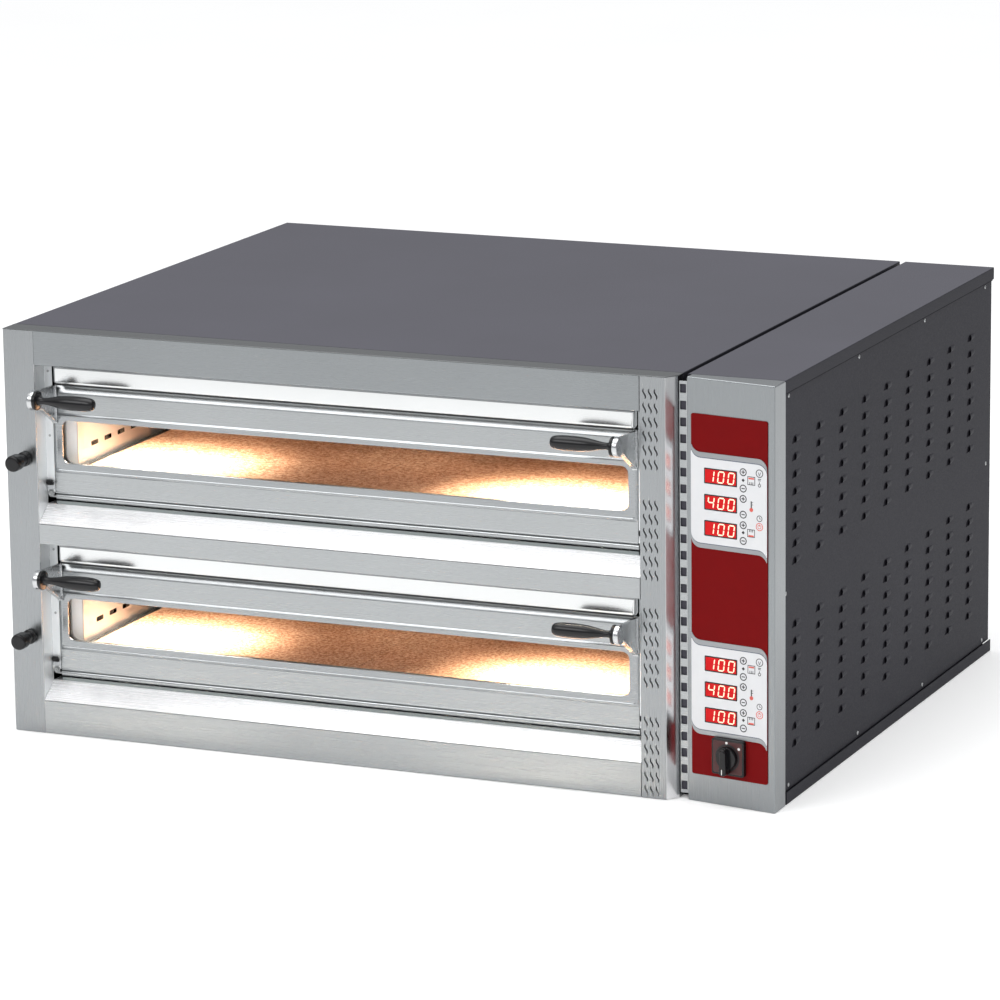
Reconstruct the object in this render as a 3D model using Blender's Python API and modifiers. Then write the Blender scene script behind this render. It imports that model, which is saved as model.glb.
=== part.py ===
"""Countertop double-deck electric pizza oven, in metres, +Z up.

Every piece hangs from the empty casing_corner, the casing's front left bottom corner, so its
location reads as a distance to the right, back and up from there.
"""

import math

import bmesh
import bpy
from mathutils import Vector

# Overall size.
WIDTH = 1.486
DEPTH = 1.180
HEIGHT = 0.750
SHEET = 0.0015
GAP = 0.0003

# Main box and its front.
MAIN_RIGHT = 1.298
PILLAR_LEFT = 0.062
PILLAR_RIGHT = 1.234
PILLAR_CORNER = 1.281
CHAMFER_DEPTH = 0.023
FASCIA_DEPTH = 0.045
TRIM_DEPTH = 0.045
RECESS_DEPTH = 0.0365
JAMB = 0.016
SKIRT = 0.0225
SIDE_RECESS = 0.004
DECK_PITCH = 0.331
DECKS = {"upper": DECK_PITCH, "lower": 0.0}

# Heights in the lower deck; the upper deck adds DECK_PITCH.
BAND_TOP = 0.063
RECESS_TOP = 0.355
SILL_TOP = 0.0925
SILL_BACK = 0.038
VISOR_LOW, VISOR_HIGH = 0.317, 0.351
VISOR_FRONT, VISOR_BACK = 0.020, 0.046

# Door, hung on a bar along its bottom edge.
DOOR_LEFT, DOOR_RIGHT = 0.0785, 1.2175
DOOR_LOW, DOOR_HIGH = 0.100, 0.314
DOOR_FRONT, DOOR_BACK = 0.035, 0.060
DOOR_SHEET = 0.002
WINDOW_MARGIN = 0.0185
WINDOW_LOW, WINDOW_HIGH = 0.170, 0.249
WINDOW_RADIUS = 0.013
GLASS_FRONT, GLASS_BACK = 0.0375, 0.0420
GLASS_LAP = 0.008
PAN_FRONT, PAN_BACK = 0.0560, 0.0590
HINGE_Y, HINGE_Z = 0.043, 0.106
HINGE_RADIUS = 0.0032
HINGE_BORE = 0.0038

# Cast ears and their grips.
EAR_THICK = 0.010
BOSS_Y, BOSS_Z = -0.046, 0.301
BOSS_RADIUS = 0.018
GRIP_LENGTH = 0.119

# Baking chamber.
CHAMBER_LEFT, CHAMBER_RIGHT = 0.108, 1.188
CHAMBER_FRONT, CHAMBER_BACK = 0.070, 0.800
CHAMBER_LOW, CHAMBER_HIGH = 0.124, 0.305
CHAMBER_WALL = 0.002
STONE_LOW, STONE_HIGH = 0.1425, 0.160
HEATER_RADIUS = 0.004
HEATER_RUNS = 4
TOP_HEATER_Z, BOTTOM_HEATER_Z = 0.291, 0.1335
SLOT_FIRST, SLOT_PITCH, SLOT_COUNT = 0.120, 0.052, 13
SLOT_LENGTH, SLOT_HEIGHT, SLOT_Z = 0.026, 0.0065, 0.190
LAMP_Y, LAMP_Z, LAMP_RADIUS = 0.350, 0.235, 0.0215
PROBE_X, PROBE_Z, PROBE_RADIUS = 0.640, 0.272, 0.003

# Damper: a knob on a rod that pulls a slotted slide behind the chamber's slots.
DAMPER_X, DAMPER_Z = 0.038, 0.181
ROD_LENGTH = 0.119
DAMPER_TRAVEL = 0.026
ROD_RADIUS = 0.0032
SLIDE_LEFT, SLIDE_RIGHT = 0.1045, 0.1065
FLUE_X, FLUE_Z, FLUE_RADIUS = 0.140, 0.235, 0.040

# Control box.
BOX_LEFT = 1.308
FACE_LEFT, FACE_LEFT_Y = 1.315, 0.017
FACE_RIGHT_Y = -0.012
FACE_RETURN = 0.040
FACE_TURN = math.atan2(FACE_RIGHT_Y - FACE_LEFT_Y, WIDTH - FACE_LEFT)
PANEL_LEFT, PANEL_RIGHT = 0.009, 0.160
PANEL_LOW, PANEL_HIGH = 0.050, 0.688
PANEL_THICK = 0.0015
KEYPAD_LOW, KEYPAD_HIGH = 0.123, 0.291
KEYPAD_CURVE = 0.018
KEYPAD_THICK = 0.0012
SWITCH_X, SWITCH_Z = 0.0855, 0.0905
SWITCH_WIDTH, SWITCH_THICK = 0.064, 0.0085
KNOB_RADIUS, KNOB_THICK = 0.020, 0.008
LEVER_WIDTH, LEVER_THICK, LEVER_REACH = 0.014, 0.012, 0.029
VENT_Y, VENT_PITCH, VENT_COUNT = 0.030, 0.0293, 25
VENT_WIDTH, VENT_HEIGHT = 0.0105, 0.0155
CONTROL_BACK = 1.150
GLAND_AT = (1.397, CONTROL_BACK - 0.012, 0.110)
GLAND_HOLE = 0.0115
CONTACTOR_LOW, CONTACTOR_HIGH = (1.340, 0.500, 0.250), (1.440, 0.590, 0.350)
STRIP_LOW, STRIP_HIGH, STRIP_FIRST = 0.010, 0.740, 0.727


def clear_scene():
    for obj in list(bpy.data.objects):
        bpy.data.objects.remove(obj, do_unlink=True)


def new_collection(name, helper=False):
    made = bpy.data.collections.new(name)
    bpy.context.scene.collection.children.link(made)
    made.hide_render = helper
    return made


def make_material(name, color, roughness, metallic=0.0):
    material = bpy.data.materials.new(name)
    material.use_nodes = True
    shader = material.node_tree.nodes["Principled BSDF"]
    shader.inputs["Base Color"].default_value = (*color, 1.0)
    shader.inputs["Roughness"].default_value = roughness
    shader.inputs["Metallic"].default_value = metallic
    return material


clear_scene()
OVEN = new_collection("pizza_oven")
CUTTERS = new_collection("cutters", helper=True)
STEEL = make_material("satin_steel", (0.60, 0.62, 0.63), 0.30, 1.0)
BRIGHT = make_material("bright_steel", (0.80, 0.81, 0.82), 0.15, 1.0)
DARK = make_material("slate_paint", (0.06, 0.06, 0.075), 0.45)
PLATED = make_material("zinc_plate", (0.45, 0.46, 0.47), 0.45, 1.0)
BLACK = make_material("black_plastic", (0.01, 0.01, 0.011), 0.25)
STONE = make_material("baking_stone", (0.55, 0.36, 0.24), 0.9)
GLASS = make_material("door_glass", (0.9, 0.95, 0.95), 0.05)
RED = make_material("red_panel", (0.19, 0.006, 0.007), 0.35)
WHITE = make_material("keypad_white", (0.80, 0.80, 0.82), 0.4)
INCOLOY = make_material("heater_sheath", (0.10, 0.09, 0.09), 0.6, 1.0)


def hang(obj, material=None, parent=None, location=(0, 0, 0)):
    """Adds the object to the oven, or to the cutters when it has no material."""
    (OVEN if material else CUTTERS).objects.link(obj)
    obj.parent = parent or CORNER
    obj.location = location
    if material:
        obj.data.materials.append(material)
    else:
        obj.hide_render = True
        obj.display_type = "WIRE"
    return obj


def add_empty(name, location, parent=None, turn=0.0):
    empty = bpy.data.objects.new(name, None)
    OVEN.objects.link(empty)
    empty.parent = parent
    empty.location = location
    empty.rotation_euler = (0, 0, turn)
    empty.empty_display_size = 0.05
    return empty


def mesh_object(name, bm):
    mesh = bpy.data.meshes.new(name)
    bm.to_mesh(mesh)
    bm.free()
    return bpy.data.objects.new(name, mesh)


def add_box(name, low, high, material=None, parent=None, round_y=0.0):
    """A box between two corners; round_y rounds its four edges along Y."""
    bm = bmesh.new()
    bmesh.ops.create_cube(bm, size=1.0)
    bmesh.ops.scale(bm, vec=Vector(high) - Vector(low), verts=bm.verts)
    if round_y:
        along = [e for e in bm.edges if abs(e.verts[0].co.y - e.verts[1].co.y) > 1e-6]
        bmesh.ops.bevel(bm, geom=along, offset=round_y, segments=3, affect="EDGES", profile=0.5)
    middle = (Vector(low) + Vector(high)) / 2
    return hang(mesh_object(name, bm), material, parent, middle)


def add_cylinder(name, center, radius, length, axis, sides=16, material=None, parent=None):
    bm = bmesh.new()
    bmesh.ops.create_cone(
        bm, cap_ends=True, segments=sides, radius1=radius, radius2=radius, depth=length
    )
    obj = hang(mesh_object(name, bm), material, parent, center)
    obj.rotation_euler = {"X": (0, math.pi / 2, 0), "Y": (math.pi / 2, 0, 0), "Z": (0, 0, 0)}[axis]
    return obj


def add_turned(name, profile, center, rotation, material, parent=None, steps=16):
    """Turns (radius, height) points, listed from the top down, about the object's own Z."""
    bm = bmesh.new()
    points = [bm.verts.new((radius, 0, height)) for radius, height in profile]
    for first, second in zip(points, points[1:]):
        bm.edges.new((first, second))
    obj = hang(mesh_object(name, bm), material, parent, center)
    obj.rotation_euler = rotation
    screw = obj.modifiers.new("turn", "SCREW")
    screw.steps = screw.render_steps = steps
    screw.use_merge_vertices = True
    screw.merge_threshold = 0.00005
    return obj


def add_folded(name, path, along, start, end, material, parent=None, thick=SHEET):
    """A folded sheet: the path of its outer skin, drawn from start to end along one axis."""
    place = {
        "X": lambda a, b, run: (run, a, b),
        "Y": lambda a, b, run: (a, run, b),
        "Z": lambda a, b, run: (a, b, run),
    }[along]
    bm = bmesh.new()
    near = [bm.verts.new(place(a, b, start)) for a, b in path]
    far = [bm.verts.new(place(a, b, end)) for a, b in path]
    for i in range(len(path) - 1):
        bm.faces.new((near[i], near[i + 1], far[i + 1], far[i]))
    obj = hang(mesh_object(name, bm), material, parent)
    wall = obj.modifiers.new("wall", "SOLIDIFY")
    wall.thickness = thick
    wall.offset = -1
    wall.use_even_offset = True
    return obj


def add_outline(name, points, thick, center, rotation, material, parent=None):
    """A flat plate with the given outline in its own XY plane, thick along its own Z."""
    curve = bpy.data.curves.new(name, "CURVE")
    curve.dimensions = "2D"
    curve.fill_mode = "BOTH"
    curve.extrude = thick / 2
    spline = curve.splines.new("POLY")
    spline.points.add(len(points) - 1)
    for point, (x, y) in zip(spline.points, points):
        point.co = (x, y, 0, 1)
    spline.use_cyclic_u = True
    obj = hang(bpy.data.objects.new(name, curve), material, parent, center)
    obj.rotation_euler = rotation
    return obj


def arc(center_x, center_y, radius, start_deg, end_deg, count):
    angles = [math.radians(start_deg + (end_deg - start_deg) * i / (count - 1)) for i in range(count)]
    return [(center_x + radius * math.cos(a), center_y + radius * math.sin(a)) for a in angles]


def modify(obj, other, operation):
    boolean = obj.modifiers.new(f"{operation.lower()}_{other.name}", "BOOLEAN")
    boolean.operation = operation
    boolean.object = other


def cut(obj, *cutters):
    for cutter in cutters:
        modify(obj, cutter, "DIFFERENCE")


def join(obj, *helpers):
    for helper in helpers:
        modify(obj, helper, "UNION")


def cut_row(obj, name, low, high, step, count):
    """Cuts a row of equal boxes, joined in one cutter mesh."""
    bm = bmesh.new()
    for i in range(count):
        made = bmesh.ops.create_cube(bm, size=1.0)["verts"]
        bmesh.ops.scale(bm, vec=Vector(high) - Vector(low), verts=made)
        bmesh.ops.translate(bm, vec=(Vector(low) + Vector(high)) / 2 + Vector(step) * i, verts=made)
    cut(obj, hang(mesh_object(name, bm)))


CORNER = add_empty("casing_corner", (-WIDTH / 2, -DEPTH / 2, 0))
FACE = add_empty("control_face", (FACE_LEFT, FACE_LEFT_Y, 0), CORNER, FACE_TURN)


def build_casing():
    floor_path = [(WIDTH, SKIRT), (WIDTH, 0), (0, 0), (0, SKIRT)]
    add_folded("base_pan", floor_path, "Y", FASCIA_DEPTH + 0.002, DEPTH, DARK, thick=0.002)
    low = SKIRT + GAP
    high = HEIGHT - SKIRT - GAP
    cover = [(0, HEIGHT - SKIRT), (0, HEIGHT), (MAIN_RIGHT, HEIGHT), (MAIN_RIGHT, HEIGHT - SKIRT)]
    add_folded("top_cover", cover, "Y", TRIM_DEPTH + GAP, DEPTH, DARK)
    front = FASCIA_DEPTH + GAP
    sunk_high = (SIDE_RECESS + SHEET, DEPTH - 0.002, high)
    add_box("left_side_panel", (SIDE_RECESS, front, low), sunk_high, DARK)
    add_box("inner_side_panel", (MAIN_RIGHT - SHEET, front, 0.0025), (MAIN_RIGHT, DEPTH, high), DARK)
    back = add_box(
        "back_panel",
        (0.006, DEPTH - SHEET, 0.0025),
        (MAIN_RIGHT - 0.002, DEPTH, HEIGHT - SHEET - GAP),
        DARK,
    )
    for deck, lift in DECKS.items():
        flue = add_cylinder(
            f"flue_cutter_{deck}", (FLUE_X, DEPTH, FLUE_Z + lift), FLUE_RADIUS, 0.02, "Y", 24
        )
        cut(back, flue)


def build_front():
    wall_low, wall_high = 0.001, HEIGHT - SHEET - GAP
    left = [
        (0, FASCIA_DEPTH),
        (0, 0),
        (PILLAR_LEFT, 0),
        (PILLAR_LEFT, RECESS_DEPTH),
        (PILLAR_LEFT + JAMB, RECESS_DEPTH),
    ]
    right = [
        (PILLAR_RIGHT - JAMB, RECESS_DEPTH),
        (PILLAR_RIGHT, RECESS_DEPTH),
        (PILLAR_RIGHT, 0),
        (PILLAR_CORNER, 0),
        (MAIN_RIGHT - 0.001, CHAMFER_DEPTH),
        (MAIN_RIGHT - 0.001, FASCIA_DEPTH),
    ]
    left_pillar = add_folded("left_pillar", left, "Z", wall_low, wall_high, STEEL)
    right_pillar = add_folded("right_pillar", right, "Z", wall_low, wall_high, STEEL)
    for deck, lift in DECKS.items():
        for side, pillar, x in (
            ("left", left_pillar, PILLAR_LEFT + GAP),
            ("right", right_pillar, PILLAR_RIGHT - JAMB - 0.001),
        ):
            notch_low = (x, RECESS_DEPTH - 0.003, BAND_TOP - 0.003 + lift)
            notch_high = (x + JAMB + 0.001 - GAP, RECESS_DEPTH + 0.005, HINGE_Z + 0.008 + lift)
            cut(pillar, add_box(f"hinge_notch_{side}_{deck}", notch_low, notch_high))
        rod_at = (DAMPER_X, 0, DAMPER_Z + lift)
        cut(left_pillar, add_cylinder(f"rod_hole_{deck}", rod_at, ROD_RADIUS + 0.001, 0.01, "Y", 12))
    corner = [(0, 0), (PILLAR_CORNER, 0), (MAIN_RIGHT, CHAMFER_DEPTH), (MAIN_RIGHT, TRIM_DEPTH)]
    trim_at = (0, 0, HEIGHT - SHEET / 2)
    add_outline("front_top_trim", corner + [(0, TRIM_DEPTH)], SHEET, trim_at, (0, 0, 0), STEEL)
    ends = (PILLAR_LEFT + GAP, PILLAR_RIGHT - GAP)
    bands = {
        "top_band": (wall_high, RECESS_TOP + DECK_PITCH),
        "middle_band": (BAND_TOP + DECK_PITCH - SHEET - GAP, RECESS_TOP),
        "bottom_band": (BAND_TOP - SHEET - GAP, wall_low),
    }
    for name, (high, low) in bands.items():
        add_folded(name, [(0, high), (0, low), (RECESS_DEPTH - 0.002, low)], "X", *ends, STEEL)
    for deck, lift in DECKS.items():
        sill = [(0.069, SILL_TOP + lift), (SILL_BACK, SILL_TOP + lift), (0, BAND_TOP + lift)]
        add_folded(f"sill_{deck}", sill, "X", *ends, BRIGHT)
        visor = add_box(
            f"visor_{deck}",
            (DOOR_LEFT + 0.010, VISOR_FRONT, VISOR_LOW + lift),
            (DOOR_RIGHT - 0.010, VISOR_BACK, VISOR_HIGH + lift),
            BRIGHT,
        )
        edge = visor.modifiers.new("edge", "BEVEL")
        edge.width = 0.006
        edge.segments = 2


def serpentine(left, right, front, back, runs):
    """Straight runs along X joined by half circles, as a hairpin heater bends."""
    pitch = (back - front) / (runs - 1)
    radius = pitch / 2
    points = [(right, front)]
    for run in range(runs - 1):
        y = front + pitch * (run + 0.5)
        if run % 2 == 0:
            points += arc(left + radius, y, radius, 270, 90, 7)
        else:
            points += arc(right - radius, y, radius, -90, 90, 7)
    return points + [(right, back)]


def add_heater(name, z):
    curve = bpy.data.curves.new(name, "CURVE")
    curve.dimensions = "3D"
    curve.bevel_depth = HEATER_RADIUS
    curve.bevel_resolution = 1
    curve.use_fill_caps = True
    left, right = CHAMBER_LEFT + 0.020, CHAMBER_RIGHT - 0.020
    points = serpentine(left, right, CHAMBER_FRONT + 0.070, CHAMBER_BACK - 0.070, HEATER_RUNS)
    spline = curve.splines.new("POLY")
    spline.points.add(len(points) - 1)
    for point, (x, y) in zip(spline.points, points):
        point.co = (x, y, z, 1)
    hang(bpy.data.objects.new(name, curve), INCOLOY)


def build_chamber(deck, lift):
    wall = CHAMBER_WALL
    outer_low = (CHAMBER_LEFT, CHAMBER_FRONT, CHAMBER_LOW + lift)
    outer_high = (CHAMBER_RIGHT, CHAMBER_BACK, CHAMBER_HIGH + lift)
    liner = add_box(f"chamber_liner_{deck}", outer_low, outer_high, BRIGHT)
    inside = add_box(
        f"chamber_cutter_{deck}",
        (CHAMBER_LEFT + wall, CHAMBER_FRONT - 0.01, CHAMBER_LOW + wall + lift),
        (CHAMBER_RIGHT - wall, CHAMBER_BACK - wall, CHAMBER_HIGH - wall + lift),
    )
    lamp_at = (CHAMBER_RIGHT - 0.001, LAMP_Y, LAMP_Z + lift)
    probe_at = (PROBE_X, CHAMBER_BACK - 0.001, PROBE_Z + lift)
    lamp_hole = add_cylinder(f"lamp_cutter_{deck}", lamp_at, LAMP_RADIUS + 0.0005, 0.01, "X", 16)
    probe_hole = add_cylinder(f"probe_cutter_{deck}", probe_at, PROBE_RADIUS + 0.0005, 0.01, "Y", 10)
    cut(liner, inside, lamp_hole, probe_hole)
    slot_low = (CHAMBER_LEFT - 0.001, SLOT_FIRST, SLOT_Z - SLOT_HEIGHT / 2 + lift)
    slot_high = (CHAMBER_LEFT + 0.003, SLOT_FIRST + SLOT_LENGTH, SLOT_Z + SLOT_HEIGHT / 2 + lift)
    step = (0, SLOT_PITCH, 0)
    cut_row(liner, f"slot_cutter_{deck}", slot_low, slot_high, step, SLOT_COUNT)
    ease = wall + 0.0015
    add_box(
        f"baking_stone_{deck}",
        (CHAMBER_LEFT + ease, CHAMBER_FRONT + 0.004, STONE_LOW + lift),
        (CHAMBER_RIGHT - ease, CHAMBER_BACK - ease, STONE_HIGH + lift),
        STONE,
    )
    add_heater(f"top_heater_{deck}", TOP_HEATER_Z + lift)
    add_heater(f"bottom_heater_{deck}", BOTTOM_HEATER_Z + lift)
    lens = [(0, 0.050), (LAMP_RADIUS, 0.050), (LAMP_RADIUS, 0.004), (0.015, 0), (0, -0.001)]
    lamp_foot = (CHAMBER_RIGHT - 0.006, LAMP_Y, LAMP_Z + lift)
    add_turned(f"oven_lamp_{deck}", lens, lamp_foot, (0, math.pi / 2, 0), GLASS)
    probe_mid = (PROBE_X, CHAMBER_BACK - 0.010, PROBE_Z + lift)
    add_cylinder(f"temperature_probe_{deck}", probe_mid, PROBE_RADIUS, 0.090, "Y", 8, INCOLOY)
    return slot_low, slot_high, step


def build_damper(deck, lift, slot_low, slot_high, step):
    knob = [
        (0, 0.049), (0.011, 0.049), (0.0145, 0.0465), (0.015, 0.043), (0.015, 0.027), (0.0130, 0.023),
        (0.0105, 0.018), (0.0110, 0.006), (0.0135, 0.005), (0.0135, 0), (0, 0),
    ]
    at = (DAMPER_X, -0.003, DAMPER_Z + lift)
    add_turned(f"damper_knob_{deck}", knob, at, (math.pi / 2, 0, 0), BLACK)
    plate_low = (SLIDE_LEFT, 0.114, DAMPER_Z - 0.004 + lift)
    plate_high = (SLIDE_RIGHT, 0.780, SLOT_Z + 0.010 + lift)
    slide = add_box(f"damper_slide_{deck}", plate_low, plate_high, PLATED)
    arm_low = (DAMPER_X - 0.0025, 0.1145, DAMPER_Z - 0.0035 + lift)
    arm_high = (SLIDE_LEFT + 0.001, 0.1195, DAMPER_Z + 0.0035 + lift)
    arm = add_box(f"slide_arm_{deck}", arm_low, arm_high)
    rod_at = (DAMPER_X, ROD_LENGTH / 2 - 0.0027, DAMPER_Z + lift)
    rod = add_cylinder(f"slide_rod_{deck}", rod_at, ROD_RADIUS, ROD_LENGTH, "Y", 10)
    join(slide, arm, rod)
    shift = Vector((-0.005, DAMPER_TRAVEL, 0))
    low, high = Vector(slot_low) + shift, Vector(slot_high) + shift
    cut_row(slide, f"slide_slots_{deck}", low, high, step, SLOT_COUNT - 1)


def rounded_window(name, front, back, lift, grow=0.0):
    return add_box(
        name,
        (DOOR_LEFT + WINDOW_MARGIN - grow, front, WINDOW_LOW - grow + lift),
        (DOOR_RIGHT - WINDOW_MARGIN + grow, back, WINDOW_HIGH + grow + lift),
        round_y=WINDOW_RADIUS,
    )


def ear_outline():
    """The ear's side view as (forward, up) from its boss: a boss, a flat top and a slanting foot."""
    root = DOOR_FRONT - GAP - BOSS_Y
    boss = arc(0, 0, BOSS_RADIUS, 90, 300, 9)
    return [(root, DOOR_HIGH - BOSS_Z)] + boss + [(0.025, -0.027), (root, -0.057)]


def build_door(deck, lift):
    axle = add_empty(f"door_axis_{deck}", (WIDTH / 2, HINGE_Y, HINGE_Z + lift), CORNER)
    drop = -Vector(axle.location)

    def ride(obj):
        obj.parent = axle
        obj.location = Vector(obj.location) + drop
        return obj

    sheet = DOOR_SHEET
    low = (DOOR_LEFT, DOOR_FRONT, DOOR_LOW + lift)
    high = (DOOR_RIGHT, DOOR_BACK, DOOR_HIGH + lift)
    shell = ride(add_box(f"door_shell_{deck}", low, high, STEEL))
    hollow = add_box(
        f"door_hollow_{deck}",
        (DOOR_LEFT + sheet, DOOR_FRONT + sheet, DOOR_LOW + sheet + lift),
        (DOOR_RIGHT - sheet, DOOR_BACK + 0.01, DOOR_HIGH - sheet + lift),
    )
    window = rounded_window(f"door_window_{deck}", 0.03, 0.04, lift)
    bar_at = (WIDTH / 2 - 0.095, HINGE_Y, HINGE_Z + lift)
    bore = add_cylinder(f"hinge_bore_{deck}", bar_at, HINGE_BORE, 1.3, "X", 12)
    cut(shell, hollow, window, bore)
    ease = sheet + GAP
    pan_low = (DOOR_LEFT + ease, PAN_FRONT, DOOR_LOW + ease + lift)
    pan_high = (DOOR_RIGHT - ease, PAN_BACK, DOOR_HIGH - ease + lift)
    pan = ride(add_box(f"door_inner_pan_{deck}", pan_low, pan_high, STEEL))
    cut(pan, rounded_window(f"pan_window_{deck}", 0.05, 0.07, lift, 0.004))
    lap = WINDOW_MARGIN - GLASS_LAP
    glass_low = (DOOR_LEFT + lap, GLASS_FRONT, WINDOW_LOW - GLASS_LAP + lift)
    glass_high = (DOOR_RIGHT - lap, GLASS_BACK, WINDOW_HIGH + GLASS_LAP + lift)
    ride(add_box(f"door_glass_{deck}", glass_low, glass_high, GLASS))
    bar_length = PILLAR_RIGHT - PILLAR_LEFT - 0.004
    bar_mid = ((PILLAR_LEFT + PILLAR_RIGHT) / 2, HINGE_Y, HINGE_Z + lift)
    ride(add_cylinder(f"door_hinge_bar_{deck}", bar_mid, HINGE_RADIUS, bar_length, "X", 12, PLATED))
    turned = (math.pi / 2, 0, math.pi / 2)
    grip = [
        (0, GRIP_LENGTH), (0.006, GRIP_LENGTH - 0.0008), (0.0105, GRIP_LENGTH - 0.005),
        (0.0130, GRIP_LENGTH - 0.014), (0.0132, GRIP_LENGTH - 0.030), (0.0105, 0.045), (0.0070, 0.024),
        (0.0060, 0.014), (0.0085, 0.008), (0.0175, 0.006), (0.0180, 0.002), (0.0170, 0), (0, 0),
    ]
    for side, ear_x, grip_x, tilt in (
        ("left", DOOR_LEFT + EAR_THICK / 2, DOOR_LEFT + EAR_THICK + GAP, math.pi / 2),
        ("right", DOOR_RIGHT - EAR_THICK / 2, DOOR_RIGHT - EAR_THICK - GAP, -math.pi / 2),
    ):
        ear_at = (ear_x, BOSS_Y, BOSS_Z + lift)
        ear = f"door_ear_{side}_{deck}"
        ride(add_outline(ear, ear_outline(), EAR_THICK, ear_at, turned, STEEL))
        grip_at = (grip_x, BOSS_Y, BOSS_Z + lift)
        ride(add_turned(f"door_grip_{side}_{deck}", grip, grip_at, (0, tilt, 0), BLACK, steps=14))


def build_control_box():
    front = [
        (FACE_LEFT, FACE_RETURN),
        (FACE_LEFT, FACE_LEFT_Y),
        (WIDTH, FACE_RIGHT_Y),
        (WIDTH, FACE_RETURN),
    ]
    control_front = add_folded("control_front", front, "Z", 0.001, HEIGHT, STEEL)
    inset = 0.0004
    lid = [
        (FACE_LEFT + inset, FACE_LEFT_Y + inset),
        (WIDTH - inset, FACE_RIGHT_Y + 2 * inset),
        (WIDTH - inset, FACE_RETURN),
        (FACE_LEFT + inset, FACE_RETURN),
    ]
    bm = bmesh.new()
    face = bm.faces.new([bm.verts.new((x, y, HEIGHT - 0.0003)) for x, y in lid])
    pushed = bmesh.ops.extrude_face_region(bm, geom=[face])["geom"]
    down = [v for v in pushed if isinstance(v, bmesh.types.BMVert)]
    bmesh.ops.translate(bm, vec=(0, 0, -SHEET), verts=down)
    bmesh.ops.recalc_face_normals(bm, faces=bm.faces)
    join(control_front, hang(mesh_object("control_lid", bm)))
    cover = [(BOX_LEFT, HEIGHT - SKIRT), (BOX_LEFT, HEIGHT), (WIDTH, HEIGHT), (WIDTH, HEIGHT - SKIRT)]
    add_folded("control_cover", cover, "Y", FACE_RETURN + GAP, DEPTH, DARK)
    low, high = SKIRT + GAP, HEIGHT - SKIRT - GAP
    skin = WIDTH - SIDE_RECESS
    side_low = (skin - SHEET, FACE_RETURN + GAP, low)
    add_box("control_side_panel", side_low, (skin, DEPTH, high), DARK)
    inner_low = (BOX_LEFT, FASCIA_DEPTH + GAP, 0.0025)
    add_box("control_inner_panel", inner_low, (BOX_LEFT + SHEET, DEPTH, high), DARK)
    back_low = (BOX_LEFT + 0.002, CONTROL_BACK, 0.0025)
    back_high = (skin - 0.002, CONTROL_BACK + SHEET, 0.7475)
    back = add_box("control_back_panel", back_low, back_high, DARK)
    cut(back, add_cylinder("gland_cutter", GLAND_AT, GLAND_HOLE, 0.05, "Y", 16))
    gland = [
        (0.0060, 0.039), (0.0095, 0.039), (0.0110, 0.035), (0.0110, 0.030), (0.0150, 0.029),
        (0.0150, 0.0140), (0.0110, 0.0138), (0.0110, 0), (0.0060, 0), (0.0060, 0.039),
    ]
    add_turned("cable_gland", gland, GLAND_AT, (-math.pi / 2, 0, 0), BLACK)
    add_box("contactor", CONTACTOR_LOW, CONTACTOR_HIGH, BLACK)
    strip_low = (MAIN_RIGHT + GAP, VENT_Y, STRIP_LOW)
    strip = add_box("vent_strip", strip_low, (FACE_LEFT - GAP, VENT_Y + SHEET, STRIP_HIGH), PLATED)
    middle = (MAIN_RIGHT + FACE_LEFT) / 2
    first = STRIP_FIRST - VENT_PITCH * (VENT_COUNT - 1)
    slot_low = (middle - VENT_WIDTH / 2, VENT_Y - 0.01, first - VENT_HEIGHT / 2)
    slot_high = (middle + VENT_WIDTH / 2, VENT_Y + 0.01, first + VENT_HEIGHT / 2)
    cut_row(strip, "vent_cutter", slot_low, slot_high, (0, 0, VENT_PITCH), VENT_COUNT)


def keypad_outline(low, high):
    """Both long edges are the same ogee: down at the left, flat, then down again at the right."""
    bend = KEYPAD_CURVE

    def ogee(height):
        rise = arc(PANEL_LEFT + bend, height + bend, bend, 180, 270, 6)
        fall = arc(PANEL_RIGHT - bend, height - bend, bend, 90, 0, 6)
        return rise + fall

    return ogee(high) + ogee(low)[::-1]


def build_controls():
    upright = (math.pi / 2, 0, 0)
    panel_high = (PANEL_RIGHT, -GAP, PANEL_HIGH)
    add_box("red_panel", (PANEL_LEFT, -GAP - PANEL_THICK, PANEL_LOW), panel_high, RED, FACE)
    front = -GAP - PANEL_THICK - GAP
    for deck, lift in DECKS.items():
        outline = keypad_outline(KEYPAD_LOW + lift, KEYPAD_HIGH + lift)
        at = (0, front - KEYPAD_THICK / 2, 0)
        add_outline(f"keypad_{deck}", outline, KEYPAD_THICK, at, upright, WHITE, FACE)
    half = SWITCH_WIDTH / 2
    plate_low = (SWITCH_X - half, front - SWITCH_THICK, SWITCH_Z - half)
    plate_high = (SWITCH_X + half, front, SWITCH_Z + half)
    add_box("switch_plate", plate_low, plate_high, BLACK, FACE)
    knob_back = front - SWITCH_THICK - GAP
    knob_at = (SWITCH_X, knob_back - KNOB_THICK / 2, SWITCH_Z)
    knob = add_cylinder("switch_knob", knob_at, KNOB_RADIUS, KNOB_THICK, "Y", 24, BLACK, FACE)
    lever = add_box(
        "switch_lever",
        (SWITCH_X - LEVER_WIDTH / 2, knob_back - KNOB_THICK - LEVER_THICK, SWITCH_Z - LEVER_REACH),
        (SWITCH_X + LEVER_WIDTH / 2, knob_back - 0.001, SWITCH_Z + KNOB_RADIUS - 0.002),
        parent=FACE,
    )
    join(knob, lever)


build_casing()
build_front()
for deck_name, deck_lift in DECKS.items():
    slots = build_chamber(deck_name, deck_lift)
    build_damper(deck_name, deck_lift, *slots)
    build_door(deck_name, deck_lift)
build_control_box()
build_controls()
print(f"{sum(obj.type != 'EMPTY' for obj in OVEN.objects)} pieces")
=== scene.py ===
import math

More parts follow.
